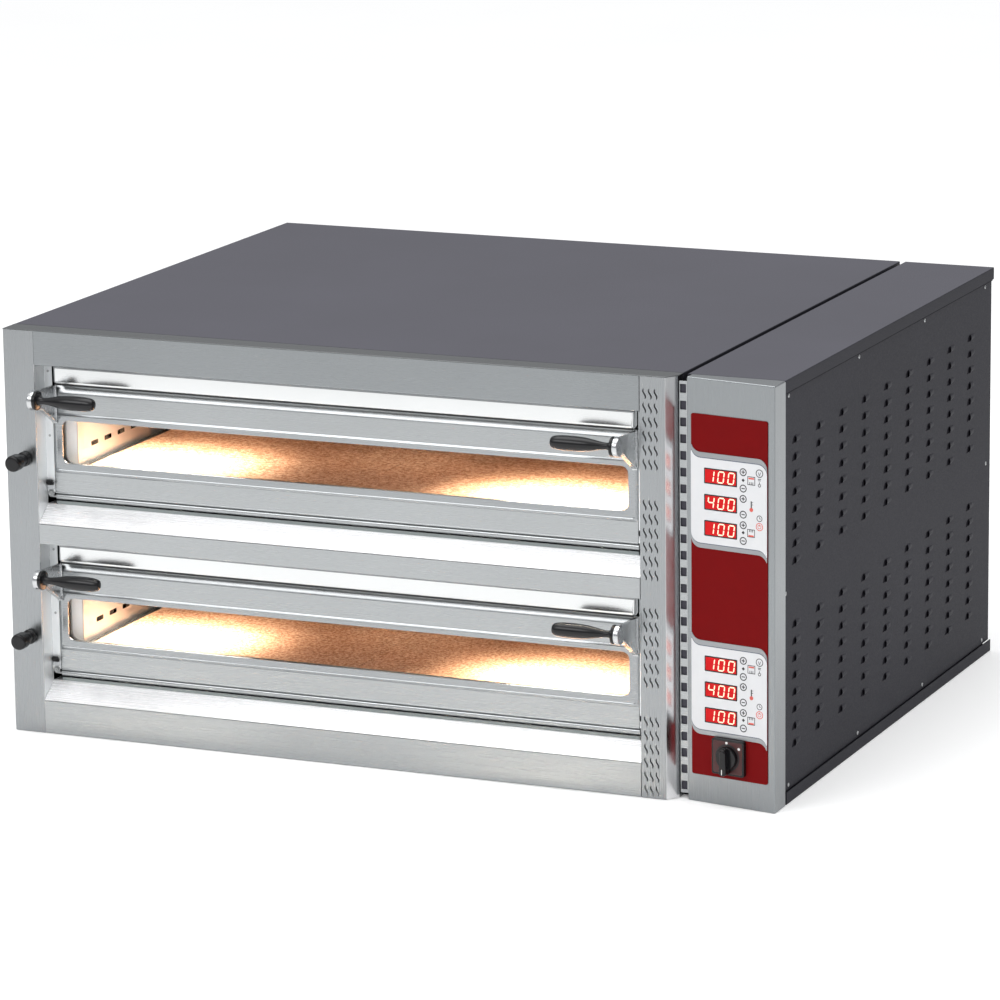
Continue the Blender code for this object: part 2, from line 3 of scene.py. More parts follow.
import bmesh
import bpy
import numpy as np
from mathutils import Matrix, Vector


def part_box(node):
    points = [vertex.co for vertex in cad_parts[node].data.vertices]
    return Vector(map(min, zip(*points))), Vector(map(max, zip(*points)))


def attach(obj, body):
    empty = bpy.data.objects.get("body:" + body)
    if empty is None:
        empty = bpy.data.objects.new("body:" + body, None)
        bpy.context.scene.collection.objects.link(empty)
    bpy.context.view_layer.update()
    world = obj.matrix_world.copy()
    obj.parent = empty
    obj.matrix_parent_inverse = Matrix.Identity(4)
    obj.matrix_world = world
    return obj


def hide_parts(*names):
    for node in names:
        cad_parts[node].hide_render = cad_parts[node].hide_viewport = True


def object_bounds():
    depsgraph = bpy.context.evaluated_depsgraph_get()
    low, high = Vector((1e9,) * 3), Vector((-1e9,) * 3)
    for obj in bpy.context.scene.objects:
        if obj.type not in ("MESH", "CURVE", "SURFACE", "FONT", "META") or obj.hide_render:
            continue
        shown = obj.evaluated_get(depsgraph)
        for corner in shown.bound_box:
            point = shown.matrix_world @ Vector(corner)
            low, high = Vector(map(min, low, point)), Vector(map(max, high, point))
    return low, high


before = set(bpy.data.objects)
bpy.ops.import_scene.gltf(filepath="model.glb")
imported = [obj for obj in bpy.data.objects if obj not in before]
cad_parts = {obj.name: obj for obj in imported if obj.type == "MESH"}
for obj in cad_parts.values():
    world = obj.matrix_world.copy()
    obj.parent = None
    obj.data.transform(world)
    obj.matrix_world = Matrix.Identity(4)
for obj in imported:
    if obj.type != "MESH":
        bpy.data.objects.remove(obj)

cadLow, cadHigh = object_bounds()
casingCorner = np.array([*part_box("front_top_trim")[0][:2], 0.0])  # front left bottom corner
casing = {
    "width": cadHigh.x - cadLow.x,
    "depth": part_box("top_cover")[1].y - casingCorner[1],
    "height": cadHigh.z,
    "split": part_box("top_cover")[1].x - casingCorner[0],  # right side of the main box
    "deckPitch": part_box("baking_stone_upper")[1].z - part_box("baking_stone_lower")[1].z,
    "sheet": 0.0015,
    "bend": 0.0022,
    "fasciaDepth": 0.045,
    "skirt": 0.0225,
    "nose": 0.012,  # how far the control box stands in front of the casing
}
decks = {"upper": casing["deckPitch"], "lower": 0.0}
tau = 2 * math.pi


def bridge(rows, columns, wrapColumns=True, wrapRows=False):
    # quads between neighbouring rows of a rows x columns lattice of points
    r = np.arange(rows if wrapRows else rows - 1)
    c = np.arange(columns if wrapColumns else columns - 1)
    a, b = np.meshgrid(r, c, indexing="ij")
    right, below = (b + 1) % columns, (a + 1) % rows
    quads = np.stack(
        [a * columns + b, a * columns + right, below * columns + right, below * columns + b], -1
    )
    return quads.reshape(-1, 4).tolist()


def closedMesh(name, points, faces, merge=0.0):
    # the points and faces as a mesh, with doubles merged and its faces turned outwards
    mesh = bpy.data.meshes.new(name)
    mesh.from_pydata(np.asarray(points, float).tolist(), [], faces)
    form = bmesh.new()
    form.from_mesh(mesh)
    if merge:
        bmesh.ops.remove_doubles(form, verts=form.verts, dist=merge)
    bmesh.ops.recalc_face_normals(form, faces=form.faces)
    form.to_mesh(mesh)
    form.free()
    return mesh


def addPiece(name, points, faces, material, body="casing", instead=(), smoothAngle=35.0, slot=None):
    # one closed mesh, given from the casing's corner, joined to a body of the frame
    mesh = closedMesh(name, np.asarray(points, float) + casingCorner, faces, 1e-6)
    mesh.shade_smooth()
    mesh.set_sharp_from_angle(angle=math.radians(smoothAngle))
    piece = bpy.data.objects.new(name, mesh)
    bpy.context.scene.collection.objects.link(piece)
    mesh.materials.append(material)
    even = piece.modifiers.new("evenShading", "WEIGHTED_NORMAL")
    even.keep_sharp = True
    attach(piece, body)
    if instead:
        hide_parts(*([instead] if isinstance(instead, str) else instead))
    return piece


def joined(shells):
    # several closed shells, each (points, faces), as one list of points and faces
    points, faces, start = [], [], 0
    for shellPoints, shellFaces in shells:
        points.append(np.asarray(shellPoints, float))
        faces += [[index + start for index in face] for face in shellFaces]
        start += len(shellPoints)
    return np.concatenate(points), faces


def addShells(name, shells, material, **facts):
    # several closed shells as one piece
    return addPiece(name, *joined(shells), material, **facts)


def carve(shell, cutters):
    # the shell less the cutters, all of them closed, as points and faces
    holders = []
    for points, faces in (shell, joined(cutters)):
        holders.append(bpy.data.objects.new("carving", closedMesh("carving", points, faces)))
        bpy.context.scene.collection.objects.link(holders[-1])
    cut = holders[0].modifiers.new("cut", "BOOLEAN")
    cut.operation, cut.solver, cut.object = "DIFFERENCE", "EXACT", holders[1]
    bpy.context.view_layer.update()
    result = holders[0].evaluated_get(bpy.context.evaluated_depsgraph_get()).to_mesh()
    points = np.empty(3 * len(result.vertices), np.float32)
    result.vertices.foreach_get("co", points)
    corners = np.empty(len(result.loops), np.int32)
    result.loops.foreach_get("vertex_index", corners)
    starts = np.empty(len(result.polygons), np.int32)
    result.polygons.foreach_get("loop_start", starts)
    faces = [face.tolist() for face in np.split(corners, starts[1:])]
    for holder in holders:
        mesh = holder.data
        bpy.data.objects.remove(holder)
        bpy.data.meshes.remove(mesh)
    return points.reshape(-1, 3).astype(float), faces


def faceArrays(piece):
    # the normals and the centres of a piece's faces, the centres from the casing's corner
    found = []
    for name in ("normal", "center"):
        values = np.empty(3 * len(piece.data.polygons), np.float32)
        piece.data.polygons.foreach_get(name, values)
        found.append(values.reshape(-1, 3))
    return found[0], found[1] - casingCorner


def paintFaces(piece, extra, index):
    # further materials on a piece, and the index of each face's own
    for material in extra:
        piece.data.materials.append(material)
    piece.data.polygons.foreach_set("material_index", np.asarray(index, np.int32))


def loft(loops, capped=True, ring=False):
    # closed loops of equal count joined in order; ring joins the last loop to the first
    loops = np.asarray(loops, float)
    rows, columns = loops.shape[:2]
    faces = bridge(rows, columns, True, ring)
    if capped and not ring:
        faces.append(list(range(columns))[::-1])
        faces.append(list(range((rows - 1) * columns, rows * columns)))
    return loops.reshape(-1, 3), faces


def roundedPath(corners, radius, steps=5):
    # an open path whose corners are quadratic curves: (1-t)^2 near + 2t(1-t) corner + t^2 far
    corners = np.asarray(corners, float)
    path = [corners[0]]
    for before, here, after in zip(corners, corners[1:], corners[2:]):
        inward, outward = before - here, after - here
        lengths = np.linalg.norm(inward), np.linalg.norm(outward)
        inward, outward = inward / lengths[0], outward / lengths[1]
        half = math.acos(np.clip(inward @ outward, -1, 1)) / 2
        reach = min(radius / math.tan(half), 0.45 * min(lengths))
        t = np.linspace(0, 1, steps)[:, None]
        near, far = here + inward * reach, here + outward * reach
        path += list((1 - t) ** 2 * near + 2 * t * (1 - t) * here + t**2 * far)
    return np.array(path + [corners[-1]])


def pathNormals(path):
    # left-hand normals of an open flat path, averaged at its points and stretched at its corners
    steps = np.diff(path, axis=0)
    steps /= np.linalg.norm(steps, axis=1)[:, None]
    sides = np.stack([-steps[:, 1], steps[:, 0]], -1)
    normals = np.concatenate([sides[:1], sides[:-1] + sides[1:], sides[-1:]])
    normals /= np.linalg.norm(normals, axis=1)[:, None]
    scale = np.concatenate([[1], 1 / np.clip((normals[1:-1] * sides[1:]).sum(1), 0.3, 1), [1]])
    return normals * scale[:, None]


def foldedSheet(corners, along, start, end, thick=None, bend=None):
    # the outer skin's path, rounded at its bends, thickened inwards and drawn along one axis
    thick, bend = thick or casing["sheet"], casing["bend"] if bend is None else bend
    outer = roundedPath(corners, bend)
    section = np.concatenate([outer, (outer + pathNormals(outer) * thick)[::-1]])
    order = {"X": (2, 0, 1), "Y": (0, 2, 1), "Z": (0, 1, 2)}[along]
    loops = []
    for run in (start, end):
        station = np.column_stack([section, np.full(len(section), run)])
        loops.append(station[:, order])
    points, faces = loft(loops, capped=False)
    count = len(outer)
    i = np.arange(count - 1)
    for base in (0, 2 * count):
        last = base + 2 * count - 1
        faces += np.stack([base + i, base + i + 1, last - 1 - i, last - i], -1).tolist()
    return points, faces


def ringLoop(low, high, radius, level, corner=6):
    # a rounded rectangle between two (x, z) corners at one depth y
    (x0, z0), (x1, z1) = low, high
    radius = min(radius, (x1 - x0) / 2 - 1e-5, (z1 - z0) / 2 - 1e-5)
    turns = []
    for cx, cz, first in (
        (x1 - radius, z1 - radius, 0.0),
        (x0 + radius, z1 - radius, 0.25),
        (x0 + radius, z0 + radius, 0.5),
        (x1 - radius, z0 + radius, 0.75),
    ):
        angle = tau * (first + np.linspace(0, 0.25, corner))
        turns.append(np.column_stack([cx + radius * np.cos(angle), cz + radius * np.sin(angle)]))
    flat = np.concatenate(turns)
    return np.column_stack([flat[:, 0], np.full(len(flat), level), flat[:, 1]])


def turned(profile, center, axis, segments=48):
    # (radius, height) points turned about an axis through the centre
    profile = np.asarray(profile, float)
    axis = np.asarray(axis, float) / np.linalg.norm(axis)
    side = np.cross(axis, [0, 0, 1] if abs(axis[2]) < 0.9 else [1, 0, 0])
    side /= np.linalg.norm(side)
    other = np.cross(axis, side)
    angle = tau * np.arange(segments) / segments
    around = np.cos(angle)[:, None] * side + np.sin(angle)[:, None] * other
    loops = np.asarray(center) + profile[:, 1, None, None] * axis + profile[
        :, 0, None, None
    ] * around
    closed = np.allclose(profile[0], profile[-1])
    if closed:
        return loft(loops[:-1], ring=True)
    return loft(loops)


def smoothProfile(points, steps=6):
    # a Catmull-Rom curve through profile points
    p = np.asarray(points, float)
    p = np.concatenate([2 * p[:1] - p[1:2], p, 2 * p[-1:] - p[-2:-1]])
    t = np.linspace(0, 1, steps, endpoint=False)[:, None]
    parts = []
    for a, b, c, d in zip(p, p[1:], p[2:], p[3:]):
        parts.append(0.5 * (2 * b + (c - a) * t + (2 * a - 5 * b + 4 * c - d) * t**2
                            + (3 * b - a - 3 * c + d) * t**3))
    curve = np.concatenate(parts + [p[-2:-1]])
    curve[:, 0] = np.maximum(curve[:, 0], 0.0)
    return curve


def tube(path, radius, sides=12):
    # a round tube along a path of points, with its frame carried from point to point
    path = np.asarray(path, float)
    tangent = np.gradient(path, axis=0)
    tangent /= np.linalg.norm(tangent, axis=1)[:, None]
    up = np.array([0.0, 0.0, 1.0])
    side = np.cross(tangent, up)
    side /= np.linalg.norm(side, axis=1)[:, None]
    angle = tau * np.arange(sides) / sides
    lift = np.cross(side, tangent)
    ring = np.cos(angle)[None, :, None] * side[:, None] + np.sin(angle)[None, :, None] * lift[
        :, None
    ]
    return loft(path[:, None] + radius * ring)


def windingInward(outline):
    # unit inward offsets of a closed outline's points, whichever way round it runs
    closed = np.concatenate([outline[-1:], outline, outline[:1]])
    area = np.sum(
        outline[:, 0] * np.roll(outline[:, 1], -1) - np.roll(outline[:, 0], -1) * outline[:, 1]
    )
    return pathNormals(closed)[1:-1] * np.sign(area)


def slab(outline, low, high, along, edge=0.0006, edgeHigh=None, steps=4):
    # a flat outline drawn along an axis, its rims rounded as quarter circles of the edge radius
    outline = np.asarray(outline, float)
    inward = windingInward(outline)
    order = {"X": (2, 0, 1), "Y": (0, 2, 1), "Z": (0, 1, 2)}[along]
    loops = []
    for radius, side, turn in ((edge, low, 1), (edge if edgeHigh is None else edgeHigh, high, -1)):
        quarter = np.linspace(0, math.pi / 2, steps if radius else 1)
        part = []
        for angle in quarter:
            flat = outline + inward * radius * (1 - math.sin(angle))
            run = side + turn * radius * (1 - math.cos(angle))
            part.append(np.column_stack([flat, np.full(len(flat), run)])[:, order])
        loops += part[::turn]
    return loft(loops)


def roundedBox(low, high, along, corner=0.003, edge=0.001, steps=5):
    # a box between two corners with rounded long edges and rims
    a, b = [axis for axis in range(3) if axis != "XYZ".index(along)]
    outline = ringLoop((low[a], low[b]), (high[a], high[b]), corner, 0.0, steps)[:, [0, 2]]
    run = "XYZ".index(along)
    return slab(outline, low[run], high[run], along, edge)


def plate(outline, front, back, edge=0.0003, toWorld=None):
    # a thin plate facing the front, optionally carried to its place by a function
    points, faces = slab(outline, front, back, "Y", edge, 0.0, 3)
    return (toWorld(points) if toWorld else points), faces


def circleOutline(x, z, radius, count=24):
    # centre plus radius times the cosine and sine of equal steps of angle
    angle = tau * np.arange(count) / count
    return np.column_stack([x + radius * np.cos(angle), z + radius * np.sin(angle)])


def barOutline(x, z, length, width, turn=0.0):
    # a rectangle centred on a point and turned by an angle
    c, s = math.cos(turn), math.sin(turn)
    base = np.array([[-length, -width], [length, -width], [length, width], [-length, width]]) / 2
    return np.column_stack(
        [x + base[:, 0] * c - base[:, 1] * s, z + base[:, 0] * s + base[:, 1] * c]
    )


def hoop(x, z, radius, width, front, back, toWorld, count=28):
    # a flat ring with a square section
    loops = []
    for r, y in ((radius, front), (radius, back), (radius - width, back), (radius - width, front)):
        flat = circleOutline(x, z, r, count)
        loops.append(np.column_stack([flat[:, 0], np.full(count, y), flat[:, 1]]))
    points, faces = loft(loops, ring=True)
    return toWorld(points), faces


def newMaterial(name, **values):
    # a material whose shader inputs are set by name, with its tree and shader
    material = bpy.data.materials.new(name)
    material.use_nodes = True
    shader = material.node_tree.nodes["Principled BSDF"]
    for socket, value in values.items():
        shader.inputs[socket.replace("_", " ")].default_value = value
    return material, material.node_tree, shader


def addNode(tree, kind, links=(), **values):
    # a node with its properties or input values set, and its inputs linked
    node = tree.nodes.new(kind)
    for key, value in values.items():
        if hasattr(node, key):
            setattr(node, key, value)
        else:
            node.inputs[key.replace("_", " ")].default_value = value
    for target, source in dict(links).items():
        tree.links.new(source, node.inputs[target])
    return node


def objectPattern(tree, scale=(1, 1, 1)):
    # object coordinates, stretched along each axis
    place = addNode(tree, "ShaderNodeTexCoord")
    mapping = addNode(tree, "ShaderNodeMapping", {"Vector": place.outputs["Object"]})
    mapping.inputs["Scale"].default_value = scale
    return mapping.outputs["Vector"]


def noise(tree, vector, scale, detail=3.0, rough=0.5):
    # fractal noise between 0 and 1
    sizes = {"Scale": scale, "Detail": detail, "Roughness": rough}
    return addNode(tree, "ShaderNodeTexNoise", {"Vector": vector}, **sizes).outputs["Fac"]


def spread(tree, value, low, high, fromLow=0.3, fromHigh=0.7):
    # a value carried from one range to another in proportion
    node = addNode(tree, "ShaderNodeMapRange", {"Value": value})
    for name, number in zip(
        ("From Min", "From Max", "To Min", "To Max"), (fromLow, fromHigh, low, high)
    ):
        node.inputs[name].default_value = number
    return node.outputs["Result"]


def ramp(tree, value, stops):
    # a value turned to a colour between (position, colour) stops
    node = addNode(tree, "ShaderNodeValToRGB", {"Fac": value})
    marks = node.color_ramp.elements
    while len(marks) < len(stops):
        marks.new(0.5)
    for mark, (position, color) in zip(marks, stops):
        mark.position = position
        mark.color = (*color, 1.0)
    return node.outputs["Color"]


def bump(tree, shader, height, strength, distance):
    # a height pattern that tilts the shading normal
    node = addNode(tree, "ShaderNodeBump", {"Height": height}, Strength=strength, Distance=distance)
    tree.links.new(node.outputs["Normal"], shader.inputs["Normal"])


def brushedMetal(name, tone, roughness, grain=(6, 900, 900), mottle=0.06, relief=0.1, metallic=1.0):
    # long fine grain lines, a faint cloudiness and slightly uneven polish
    material, tree, shader = newMaterial(name, Metallic=metallic)
    lines = noise(tree, objectPattern(tree, grain), 1.0, 4.0, 0.7)
    clouds = noise(tree, objectPattern(tree), 3.5, 4.0, 0.6)
    both = addNode(tree, "ShaderNodeMath", {0: lines, 1: clouds}, operation="ADD").outputs["Value"]
    low = [c * (1 - mottle) for c in tone]
    high = [min(c * (1 + mottle), 1.0) for c in tone]
    color = ramp(tree, spread(tree, both, 0, 1, 0.7, 1.3), [(0.0, low), (1.0, high)])
    tree.links.new(color, shader.inputs["Base Color"])
    tree.links.new(
        spread(tree, lines, roughness * 0.8, roughness * 1.25), shader.inputs["Roughness"]
    )
    bump(tree, shader, lines, relief, 0.0002)
    return material


def coatedMetal(name, tone, roughness, specular=0.5):
    # powder coat: orange peel in its gloss and a soft drift in tone
    material, tree, shader = newMaterial(name, Specular_IOR_Level=specular)
    peel = noise(tree, objectPattern(tree), 420.0, 4.0, 0.6)
    drift = noise(tree, objectPattern(tree), 2.2, 4.0, 0.6)
    low, high = [c * 0.92 for c in tone], [c * 1.08 for c in tone]
    color = ramp(tree, spread(tree, drift, 0, 1), [(0.0, low), (1.0, high)])
    tree.links.new(color, shader.inputs["Base Color"])
    gloss = spread(tree, peel, roughness * 0.88, roughness * 1.12)
    tree.links.new(gloss, shader.inputs["Roughness"])
    bump(tree, shader, peel, 0.18, 0.0003)
    return material


def mouldedPlastic(name, tone, roughness, relief=0.08, blotch=0.15, specular=0.4):
    # fine grain under a slightly uneven gloss
    material, tree, shader = newMaterial(name, Specular_IOR_Level=specular)
    fine = noise(tree, objectPattern(tree), 900.0, 3.0, 0.5)
    wear = noise(tree, objectPattern(tree), 38.0, 4.0, 0.65)
    low, high = [c * (1 - blotch) for c in tone], [c * (1 + blotch) for c in tone]
    color = ramp(tree, spread(tree, wear, 0, 1), [(0.0, low), (1.0, high)])
    tree.links.new(color, shader.inputs["Base Color"])
    gloss = spread(tree, wear, roughness * 0.8, roughness * 1.3)
    tree.links.new(gloss, shader.inputs["Roughness"])
    bump(tree, shader, fine, relief, 0.0002)
    return material


def clearGlass(name):
    # thin clear glass with a faint film of grease that only shows in its gloss
    material, tree, shader = newMaterial(name, IOR=1.45, Transmission_Weight=1.0, Alpha=0.05)
    film = noise(tree, objectPattern(tree), 14.0, 5.0, 0.7)
    tree.links.new(spread(tree, film, 0.0, 0.004), shader.inputs["Roughness"])
    tree.links.new(
        ramp(tree, film, [(0.0, (0.93, 0.97, 0.96)), (1.0, (0.97, 0.99, 0.98))]),
        shader.inputs["Base Color"]
    )
    return material


def glowing(name, tone, light, strength, specular=0.3):
    # a lit lens: its glow wavers slightly across its face
    material, tree, shader = newMaterial(
        name, Roughness=0.3, Emission_Strength=strength, Specular_IOR_Level=specular
    )
    drift = noise(tree, objectPattern(tree), 60.0, 3.0)
    tree.links.new(
        ramp(tree, drift, [(0.0, [c * 0.9 for c in tone]), (1.0, tone)]),
        shader.inputs["Base Color"]
    )
    tree.links.new(
        ramp(tree, drift, [(0.0, [c * 0.85 for c in light]), (1.0, light)]),
        shader.inputs["Emission Color"]
    )
    bump(tree, shader, noise(tree, objectPattern(tree), 700.0), 0.05, 0.0002)
    return material


def bakingStone(name, grey=None):
    # grainy fireclay: grit, pale specks and broad scorched patches
    material, tree, shader = newMaterial(name, Specular_IOR_Level=0.2)
    vector = objectPattern(tree)
    grit = noise(tree, vector, 170.0, 5.0, 0.75)
    patches = noise(tree, vector, 9.0, 5.0, 0.6)
    cells = addNode(tree, "ShaderNodeTexVoronoi", {"Vector": vector}, Scale=330.0)
    speck = cells.outputs["Distance"]
    tone = ramp(
        tree, spread(tree, grit, 0, 1, 0.38, 0.62),
        [(0.0, (0.25, 0.115, 0.06)), (0.5, (0.46, 0.26, 0.155)), (1.0, (0.74, 0.53, 0.38))]
    )
    scorch = ramp(
        tree, spread(tree, patches, 0, 1), [(0.0, (0.80, 0.74, 0.70)), (1.0, (1.0, 1.0, 1.0))]
    )
    pale = ramp(
        tree, spread(tree, speck, 0, 1, 0.05, 0.35),
        [(0.0, (1.0, 0.97, 0.92)), (1.0, (0.88, 0.86, 0.84))]
    )
    if grey:
        tone = ramp(
            tree, spread(tree, grit, 0, 1),
            [(0.0, (grey * 0.4,) * 3), (0.5, (grey,) * 3), (1.0, (grey * 2.4,) * 3)]
        )
    for layer in (scorch, pale):
        both = {"Color1": tone, "Color2": layer}
        mix = addNode(tree, "ShaderNodeMixRGB", both, blend_type="MULTIPLY", Fac=1.0)
        tone = mix.outputs["Color"]
    tree.links.new(tone, shader.inputs["Base Color"])
    tree.links.new(spread(tree, patches, 0.75, 0.95), shader.inputs["Roughness"])
    bump(tree, shader, grit, 0.5, 0.0008)
    return material


finish = {
    "satin": brushedMetal("satinSteel", (0.365, 0.378, 0.384), 0.28, mottle=0.04),
    # a darker copy of the door's steel: painted shade on the frame round the window
    "frame": brushedMetal("shadedFrameSteel", (0.315, 0.328, 0.336), 0.26, mottle=0.04),
    "deep": brushedMetal("deepSteel", (0.262, 0.276, 0.284), 0.28, mottle=0.04),
    "upright": brushedMetal(
        "uprightSteel", (0.300, 0.312, 0.320), 0.28, grain=(900, 900, 6), mottle=0.04
    ),
    "control": brushedMetal(
        "controlSteel", (0.262, 0.276, 0.284), 0.30, grain=(900, 900, 6), mottle=0.04
    ),
    # a much lighter, half-metallic copy of the pillar steel: painted light on the recess walls
    "litReveal": brushedMetal(
        "litRevealSteel", (0.80, 0.82, 0.83), 0.42, grain=(500, 500, 6), mottle=0.04, metallic=0.55
    ),
    # a lighter copy of the pillar steel with a polished gloss: painted highlight on the corner
    # chamfer, besides its real polish
    "chamfer": brushedMetal(
        "polishedLitChamferSteel", (0.70, 0.70, 0.71), 0.15, grain=(900, 900, 6), mottle=0.03, relief=0.05
    ),
    # a near-white, half-metallic copy of the steel: painted light from above on the sloping sills
    "sill": brushedMetal(
        "litSillSteel", (0.93, 0.93, 0.94), 0.26, mottle=0.02, relief=0.05, metallic=0.5
    ),
    # a dark copy of the steel: painted reflection, the dark strip seen along the top flange
    "trim": brushedMetal("darkReflectionTrimSteel", (0.115, 0.120, 0.122), 0.30, mottle=0.04),
    "lip": brushedMetal("lipSteel", (0.20, 0.22, 0.22), 0.30, mottle=0.05),
    "visor": brushedMetal("visorSteel", (0.64, 0.65, 0.65), 0.17, mottle=0.03, relief=0.05),
    "cast": brushedMetal("castSteel", (0.52, 0.53, 0.54), 0.24, grain=(160, 160, 160), relief=0.2),
    "zinc": brushedMetal("zincPlate", (0.42, 0.43, 0.43), 0.38, grain=(60, 60, 60), mottle=0.15),
    "chamber": brushedMetal(
        "chamberSteel", (0.90, 0.89, 0.87), 0.42, grain=(40, 700, 700), mottle=0.06
    ),
    "mouth": brushedMetal(
        "mouthSteel", (0.96, 0.95, 0.94), 0.5, grain=(40, 700, 700), mottle=0.03, metallic=0.35
    ),
    "slide": brushedMetal("slideSteel", (0.020, 0.019, 0.018), 0.6, grain=(60, 60, 60), mottle=0.3),
    "sheath": brushedMetal(
        "heaterSheath", (0.11, 0.10, 0.095), 0.5, grain=(90, 90, 90), mottle=0.25
    ),
    # near-black coat: painted shadow for the plates over the chamber's air slots
    "slotShade": coatedMetal("slotShadeCoat", (0.0012, 0.0010, 0.0009), 0.9, 0.0),
    "slate": coatedMetal("slateCoat", (0.040, 0.0385, 0.053), 0.45, 0.33),
    # the same paint as slateCoat, darker and duller: painted shade for the sides, back and
    # underside
    "slateSide": coatedMetal("slateShadedSideCoat", (0.0185, 0.0182, 0.0245), 0.60, 0.16),
    # near-black coat: painted shadow for the strips under the cover skirts, and painted shade for
    # the sheet behind the louvres
    "slateDeep": coatedMetal("slateShadowCoat", (0.0105, 0.0095, 0.0135), 0.7, 0.1),
    "black": mouldedPlastic("blackPhenolic", (0.006, 0.006, 0.007), 0.20, specular=0.32),
    "blackMatt": mouldedPlastic("blackNylon", (0.014, 0.014, 0.015), 0.45, relief=0.2),
    "red": mouldedPlastic(
        "redFoil", (0.155, 0.0035, 0.0042), 0.42, relief=0.02, blotch=0.04, specular=0.05
    ),
    "white": mouldedPlastic(
        "whiteFoil", (0.64, 0.645, 0.66), 0.38, relief=0.03, blotch=0.02, specular=0.3
    ),
    "moulding": brushedMetal("mouldingGrey", (0.30, 0.31, 0.32), 0.35, mottle=0.08),
    "edge": mouldedPlastic("edgeInk", (0.09, 0.11, 0.15), 0.45),
    "ink": mouldedPlastic("greyInk", (0.035, 0.034, 0.036), 0.5),
    "redInk": mouldedPlastic("redInk", (0.62, 0.10, 0.075), 0.45),
    "dot": mouldedPlastic("whiteInk", (0.75, 0.75, 0.74), 0.45),
    "glass": clearGlass("clearGlass"),
    "stone": bakingStone("bakingStone"),
    # the fireclay pattern in near-black grey: painted shade for the rail in the gap beside the
    # chamber wall
    "rail": bakingStone("shadowFireclay", 0.014),
    "display": glowing("displayRed", (0.52, 0.010, 0.012), (1.0, 0.02, 0.02), 0.10, 0.08),
    "figure": glowing("displayFigure", (0.9, 0.72, 0.55), (1.0, 0.70, 0.45), 0.55),
    "lamp": glowing("lampGlass", (0.85, 0.80, 0.68), (1.0, 0.80, 0.50), 2.0),
    "field": mouldedPlastic("switchField", (0.055, 0.010, 0.010), 0.35),
}
print("materials ready")


studio = {
    "cameraAt": casingCorner + np.array([4.422, -7.936, 2.492]),
    "azimuth": 23.49,
    "elevation": 12.90,
    "roll": -0.68,
    "lens": 184.0,
    "sensor": 36.0,
    "floorSide": 60.0,
    "floorGlow": 0.16,
    "skyStrength": 0.90,
    "sky": (
        (0.0, (0.30, 0.31, 0.32)),
        (0.30, (0.42, 0.43, 0.45)),
        (0.55, (0.95, 0.96, 0.97)),
        (1.0, (1.15, 1.15, 1.15)),
    ),
}


def aimCamera():
    # a long lens turned by its azimuth, elevation and roll
    azimuth, elevation = math.radians(studio["azimuth"]), math.radians(studio["elevation"])
    camera = bpy.data.cameras.new("studioCamera")
    camera.lens = studio["lens"]
    camera.sensor_width = studio["sensor"]
    camera.clip_end = 200.0
    holder = bpy.data.objects.new("studioCamera", camera)
    bpy.context.scene.collection.objects.link(holder)
    turn = Matrix.Rotation(azimuth, 3, "Z") @ Matrix.Rotation(math.pi / 2 - elevation, 3, "X")
    turn = turn @ Matrix.Rotation(math.radians(studio["roll"]), 3, "Z")
    holder.matrix_world = Matrix.Translation(studio["cameraAt"]) @ turn.to_4x4()
    bpy.context.scene.camera = holder


def layFloor():
    # one wide pale square that glows a little
    matt = {"Roughness": 0.9, "Specular_IOR_Level": 0.0}
    glow = {"Emission_Color": (1, 1, 1, 1), "Emission_Strength": studio["floorGlow"]}
    material, tree, shader = newMaterial("paleFloor", **matt, **glow)
    cloud = noise(tree, objectPattern(tree), 1.5, 2.0)
    tree.links.new(
        ramp(tree, cloud, [(0.0, (0.90, 0.90, 0.90)), (1.0, (0.93, 0.93, 0.93))]),
        shader.inputs["Base Color"]
    )
    side = studio["floorSide"] / 2
    mesh = bpy.data.meshes.new("floor")
    mesh.from_pydata(
        [(-side, -side, 0), (side, -side, 0), (side, side, 0), (-side, side, 0)], [], [(0, 1, 2, 3)]
    )
    mesh.materials.append(material)
    floor = bpy.data.objects.new("floor", mesh)
    bpy.context.scene.collection.objects.link(floor)


def addAreaLight(name, place, target, size, power, color=(1, 1, 1), spread=180.0):
    # a rectangular light turned from its place to its target
    light = bpy.data.lights.new(name, "AREA")
    light.shape = "RECTANGLE"
    light.size, light.size_y = size
    light.energy = power
    light.color = color
    light.spread = math.radians(spread)
    holder = bpy.data.objects.new(name, light)
    bpy.context.scene.collection.objects.link(holder)
    toward = Vector(target) - Vector(place)
    aim = toward.to_track_quat("-Z", "Y").to_matrix().to_4x4()
    holder.matrix_world = Matrix.Translation(place) @ aim


def lightStudio():
    # a sky that brightens with height, and two soft boxes
    world = bpy.data.worlds.new("studioSky")
    bpy.context.scene.world = world
    world.use_nodes = True
    tree = world.node_tree
    place = addNode(tree, "ShaderNodeTexCoord")
    height = addNode(
        tree, "ShaderNodeSeparateXYZ", {"Vector": place.outputs["Generated"]}
    ).outputs["Z"]
    glow = ramp(tree, spread(tree, height, 0, 1, -0.2, 1.0), studio["sky"])
    background = tree.nodes["Background"]
    tree.links.new(glow, background.inputs["Color"])
    background.inputs["Strength"].default_value = studio["skyStrength"]
    addAreaLight("overheadSoftbox", (0.0, -0.6, 4.2), (0.0, 0.0, 0.0), (4.5, 3.0), 110.0)
    addAreaLight("frontSoftbox", (-2.05, -4.9, 3.5), (0.25, -0.5, 0.5), (3.75, 1.8), 85.0)


aimCamera()
layFloor()
lightStudio()
bpy.context.scene.view_settings.view_transform = "Standard"
print("camera, floor and light ready")


